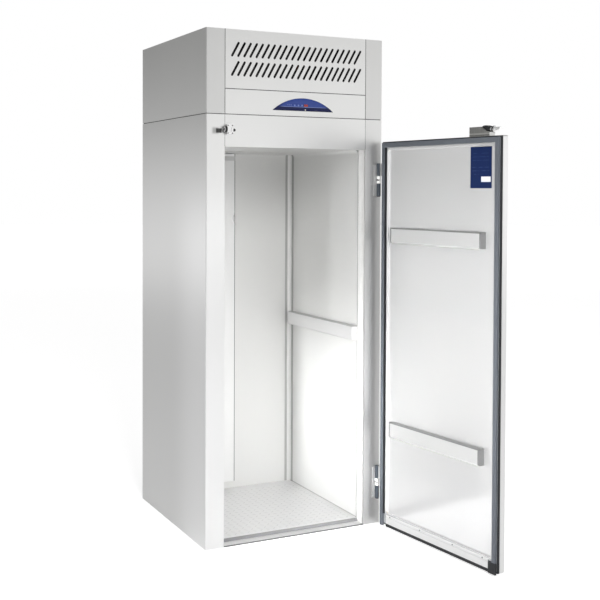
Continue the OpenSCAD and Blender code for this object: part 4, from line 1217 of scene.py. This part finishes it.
@dataclass
class Canopy(Assembly):
    """The canopy: its sheets, louvre panel, control panel and controller."""

    coats = {Palette.seal: "canopy_seal", Palette.side: "canopy_side_panels",
             Palette.louvre: "louvre_panel", Palette.header: "control_panel",
             Palette.zinc: "canopy_back_panel canopy_top_panel",
             Palette.plastic: "controller_case", Palette.key: "key_set key_up key_down"}
    lens_x: float = 0.027
    lens_foot: float = 1.866
    lens_w: float = 0.295
    lens_h: float = 0.056
    lens_d: float = 0.006
    rim: float = 0.0018
    front: float = -0.416
    key_z: float = 1.890
    key_xs: Triple = (-0.017, 0.001, 0.019)
    key_bore_r: float = 0.00375
    display_x: float = 0.038
    seam_z: float = 1.843
    roof_z: float = 2.200
    header_z: float = 1.705
    header_x: float = 0.3425
    panel_x: float = 0.34225
    joint: tuple[Span, Span] = ((-0.3410, 0.3410), (1.9475, 1.9505))

    def make(self) -> None:
        """Makes the seams, and the controller's lens and display."""
        self.seams()
        self.lens()
        self.display()

    def lens(self) -> None:
        """Crowned lens over a circle's segment, with bores for the keys.

        Across the width the outline's height is the circle's; the surface stands off
        the panel by its depth times one minus a high power of the distance from the
        middle, and so falls to a thin rim all round.
        """
        r = ((self.lens_w / 2) ** 2 + self.lens_h ** 2) / (2 * self.lens_h)
        u = np.sin(np.linspace(-1, 1, 61) * math.pi / 2)[:, None]
        v = (1 - np.cos(np.linspace(0, 1, 15) * math.pi)) / 2
        x = u * self.lens_w / 2
        top = np.sqrt(np.maximum(r ** 2 - x ** 2, 0)) - (r - self.lens_h)
        edge = np.maximum(np.abs(u) ** 10, np.abs(2 * v - 1) ** 8)
        depth = self.rim + (self.lens_d - self.rim) * (1 - edge)
        face = np.stack(np.broadcast_arrays(
            self.lens_x + x, self.front - depth,
            self.lens_foot + np.maximum(top, 0.0004) * v), -1)
        back = face.copy()
        back[..., 1] = self.front
        made = shape("controller_dome", np.concatenate([face, back[:, ::-1]], 1), smooth=40)
        bore(made, self.key_bores())
        add(made, LensBlue("lens_blue", self.lens_x, self.lens_w, self.lens_foot),
            node="controller_lens")

    def key_bores(self) -> bpy.types.Object:
        """Cylinders that cut the keys' bores, 0.15 mm wider than the keys."""
        rods = [prism(arc((x, self.key_z), self.key_bore_r, 0, 360, 32)[:-1],
                      self.front - 0.008, self.front + 0.002, 0.0001)
                for x in self.key_xs]
        return shape("key_bores", np.stack(rods)[..., [0, 2, 1]])

    def seams(self) -> None:
        """Dark joint strips set back in the seams between the front's panels."""
        y = (self.front - 0.0002, self.front + 0.0030)
        boxes = [(self.joint[0], y, self.joint[1])]
        for middle, half, z in (
                (self.panel_x, 0.0013, (self.seam_z + 0.0002, self.roof_z - 0.0002)),
                (self.header_x, 0.0007, (self.header_z, self.seam_z - 0.0034))):
            boxes += [((x - half, x + half), y, z) for x in (-middle, middle)]
        blocks("seam_strips", boxes, 0.0002, Palette.dark, steps=1)

    def display(self) -> None:
        """Display window with two lit numerals, and the pips and the lamp."""
        x, z, y = self.display_x, self.key_z, self.front - self.lens_d
        blocks("display_glass", ((x - 0.011, x + 0.011), (y - 0.0003, y + 0.0015),
                                 (z - 0.0055, z + 0.0055)), 0.0003, Palette.window,
               node="display_window", steps=2)
        bars = [((x + at + left, x + at + right), (y - 0.0006, y - 0.0002),
                 (z + low, z + high))
                for at, numeral in ((-0.0055, "3"), (0.0045, "0"))
                for (left, right), (low, high) in lit_bars(numeral)]
        blocks("display_numerals", bars, 0.0001, Palette.digit, steps=1)
        half = 0.0016
        pips = [((at - half, at + half), (y - 0.0004, y + 0.0006),
                 (z + 0.001 - half, z + 0.001 + half)) for at in (-0.050, -0.042, -0.034)]
        blocks("controller_pips", pips, 0.0003, Palette.pip, steps=2)
        blocks("status_lamp", ((0.0325, 0.0375), (y - 0.0008, y + 0.001), (1.8685, 1.8735)),
               0.0006, Palette.ivory)


def lit_bars(numeral: str) -> list[tuple[Span, Span]]:
    """Spans in X and Z of the lit bars of a numeral, about its middle."""
    w, h, t = 0.0026, 0.0038, 0.0006
    across, right, left = (-w, w), (w - t, w + t), (-w - t, t - w)
    high, low = (t, h - t), (t - h, -t)
    bars = {"a": (across, (h - t, h + t)), "b": (right, high), "c": (right, low),
            "d": (across, (-h - t, t - h)), "e": (left, low), "f": (left, high),
            "g": (across, (-t, t))}
    return [bars[letter] for letter in {"0": "abcdef", "3": "abcdg"}[numeral]]


@dataclass
class Unit(Assembly):
    """The refrigeration unit under the canopy, kept as its solids."""

    coats = {Palette.zinc: "unit_tray evaporator_fan_plate",
             Palette.condenser: "condenser_coil", Palette.shroud: "condenser_shroud",
             Palette.fan: "condenser_fan evaporator_fan", Palette.shell: "compressor",
             Palette.copper: "pipework", Palette.housing: "evaporator_housing",
             Palette.fins: "evaporator_coil"}


@dataclass(frozen=True)
class Lamp:
    """A square soft lamp at a place, aimed at a point, with its beam in degrees."""

    name: str
    at: Triple
    to: Triple
    size: float
    watts: float
    spread: float = 180.0

    def hang(self) -> None:
        """Puts the lamp in the scene, unseen by the camera and by mirrors."""
        data = bpy.data.lights.new(self.name, "AREA")
        data.size, data.energy, data.spread = self.size, self.watts, math.radians(self.spread)
        made = link(self.name, data)
        made.visible_glossy = made.visible_camera = False
        made.location = self.at
        made.rotation_mode = "QUATERNION"
        aim = Vector(self.to) - Vector(self.at)
        made.rotation_quaternion = aim.to_track_quat("-Z", "Y")


@dataclass
class Studio:
    """Pale floor, soft lamps and the camera."""

    lamps: ClassVar[tuple[Lamp, ...]] = (
        Lamp("high_lamp", (-0.9, -4.6, 3.2), (0.1, 0.0, 0.3), 1.6, 140),
        Lamp("low_lamp", (-3.5, -2.4, 0.4), (0.45, -1.05, 0.75), 1.2, 8.0, 30.0),
        Lamp("wall_lamp", (-2.6, -2.6, 0.8), (0.343, -0.12, 0.42), 0.4, 3.4, 19.0),
        Lamp("inner_lamp", (-1.2, -3.4, 0.9), (0.20, 0.10, 0.05), 0.5, 1.5, 26.0),
        Lamp("fill_lamp", (6.5, -2.5, 2.6), (0.0, 0.0, 1.0), 3.0, 60))
    picture: float = 600.0
    sensor: float = 36.0
    focal: float = 1047.637
    centre: Span = (300.0, 215.0)
    yaw: float = 0.468528
    pitch: float = -0.02489
    roll: float = 0.004083
    at: Triple = (-2.055224, -4.504402, 1.526654)
    world_level: float = 0.42
    floor_z: float = -0.0006
    floor_glow: float = 0.62
    floor_mirrored: float = 0.18
    dome_r: float = 12.0

    def build(self) -> None:
        """Makes the camera, the world, the floor and the lamps."""
        self.camera()
        self.world()
        self.floor()
        for lamp in self.lamps:
            lamp.hang()
        self.dome()

    def camera(self) -> None:
        """Camera with the photograph's place, direction and lens.

        Upright and facing +Y it is rolled about its view, pitched, and then yawed.
        """
        data = bpy.data.cameras.new("camera")
        middle = self.picture / 2
        data.sensor_width = self.sensor
        data.lens = self.focal / self.picture * self.sensor
        data.shift_x = (middle - self.centre[0]) / self.picture
        data.shift_y = (self.centre[1] - middle) / self.picture
        data.clip_start, data.clip_end = 0.1, 100.0
        made = link("camera", data)
        made.matrix_world = Matrix.Translation(self.at)
        for angle, axis in ((-self.yaw, "Z"), (math.pi / 2 + self.pitch, "X"),
                            (self.roll, "Z")):
            made.matrix_world @= Matrix.Rotation(angle, 4, axis)
        bpy.context.scene.camera = made

    def world(self) -> None:
        """White for the camera, mirrors and glass; a plain level for the light."""
        world = bpy.data.worlds.new("studio")
        world.use_nodes = True
        nodes = Nodes(world.node_tree)
        rays = nodes.node("ShaderNodeLightPath").outputs
        clear = nodes.math("MAXIMUM", rays["Is Glossy Ray"], rays["Is Transmission Ray"])
        level = nodes.node("ShaderNodeMapRange", None, {
            "Value": nodes.math("MAXIMUM", rays["Is Camera Ray"], clear),
            "To Min": self.world_level, "To Max": 1.0})
        back = nodes.node("ShaderNodeBackground", None, {
            "Color": (1, 1, 1), "Strength": level.outputs[0]})
        nodes.node("ShaderNodeOutputWorld", None, {"Surface": back.outputs[0]})
        bpy.context.scene.world = world

    def floor(self) -> None:
        """Round pale floor that keeps the object's shadow."""
        rings = np.array([[reach, self.floor_z] for reach in (0.0, 2, 5, 12, 40)])
        made = shape("floor", lathe(rings, 64), caps=())
        p = Paint("floor_pale")
        rays = p.node("ShaderNodeLightPath").outputs
        seen = Val(p, rays["Is Camera Ray"]) + Val(p, rays["Is Glossy Ray"]) \
            * self.floor_mirrored
        p.set(Base_Color=p.blend(p.noise(1.5), grey(0.83), grey(0.85)), Roughness=0.8,
              Emission_Color=seen * self.floor_glow, Emission_Strength=1.0)
        made.data.materials.append(p.material)

    def dome(self) -> None:
        """Wall of light round the set, seen only by the steel that mirrors it.

        It is a zone of a sphere, dark overhead and lighter to the horizon, and lighter
        in front of the object than behind it.
        """
        zone = arc((0, 0), self.dome_r, -4, 89, 39)
        made = shape("light_wall", lathe(zone, 96), caps=())
        p = Paint("light_wall")
        x, y, z = p.xyz
        near = p.blend(z.over(0.2, 3.9), grey(1.12), grey(0.22, 0.215))
        far = p.blend(z.over(0.2, 3.9), grey(0.70), grey(0.18, 0.175))
        left = p.blend(z.over(1.2, 5.0), grey(0.60), grey(0.22, 0.215))
        right = p.blend(z.over(1.8, 6.0), grey(1.16, 1.155), grey(0.40, 0.39))
        rear = p.blend(x.over(-6.6, -3.0), near, far)
        front = p.blend(x.over(-1.2, 2.4), left, right)
        p.set(Base_Color=grey(0.0), Roughness=1.0, Specular_IOR_Level=0.0,
              Emission_Color=p.blend(1 - y.over(-4.0, 4.0), rear, front),
              Emission_Strength=1.0)
        made.data.materials.append(p.material)
        made.visible_camera = made.visible_shadow = made.visible_diffuse = False


def main() -> None:
    """Builds the studio and the object."""
    logging.basicConfig(level=logging.INFO, format="%(message)s")
    bpy.context.scene.view_settings.view_transform = "Standard"
    Studio().build()
    for assembly in (Cabinet(), Door(), Hinges(), Latch(), Canopy(), Unit()):
        assembly.build()
        LOG.info("%s done", type(assembly).__name__)


if __name__ == "__main__":
    main()
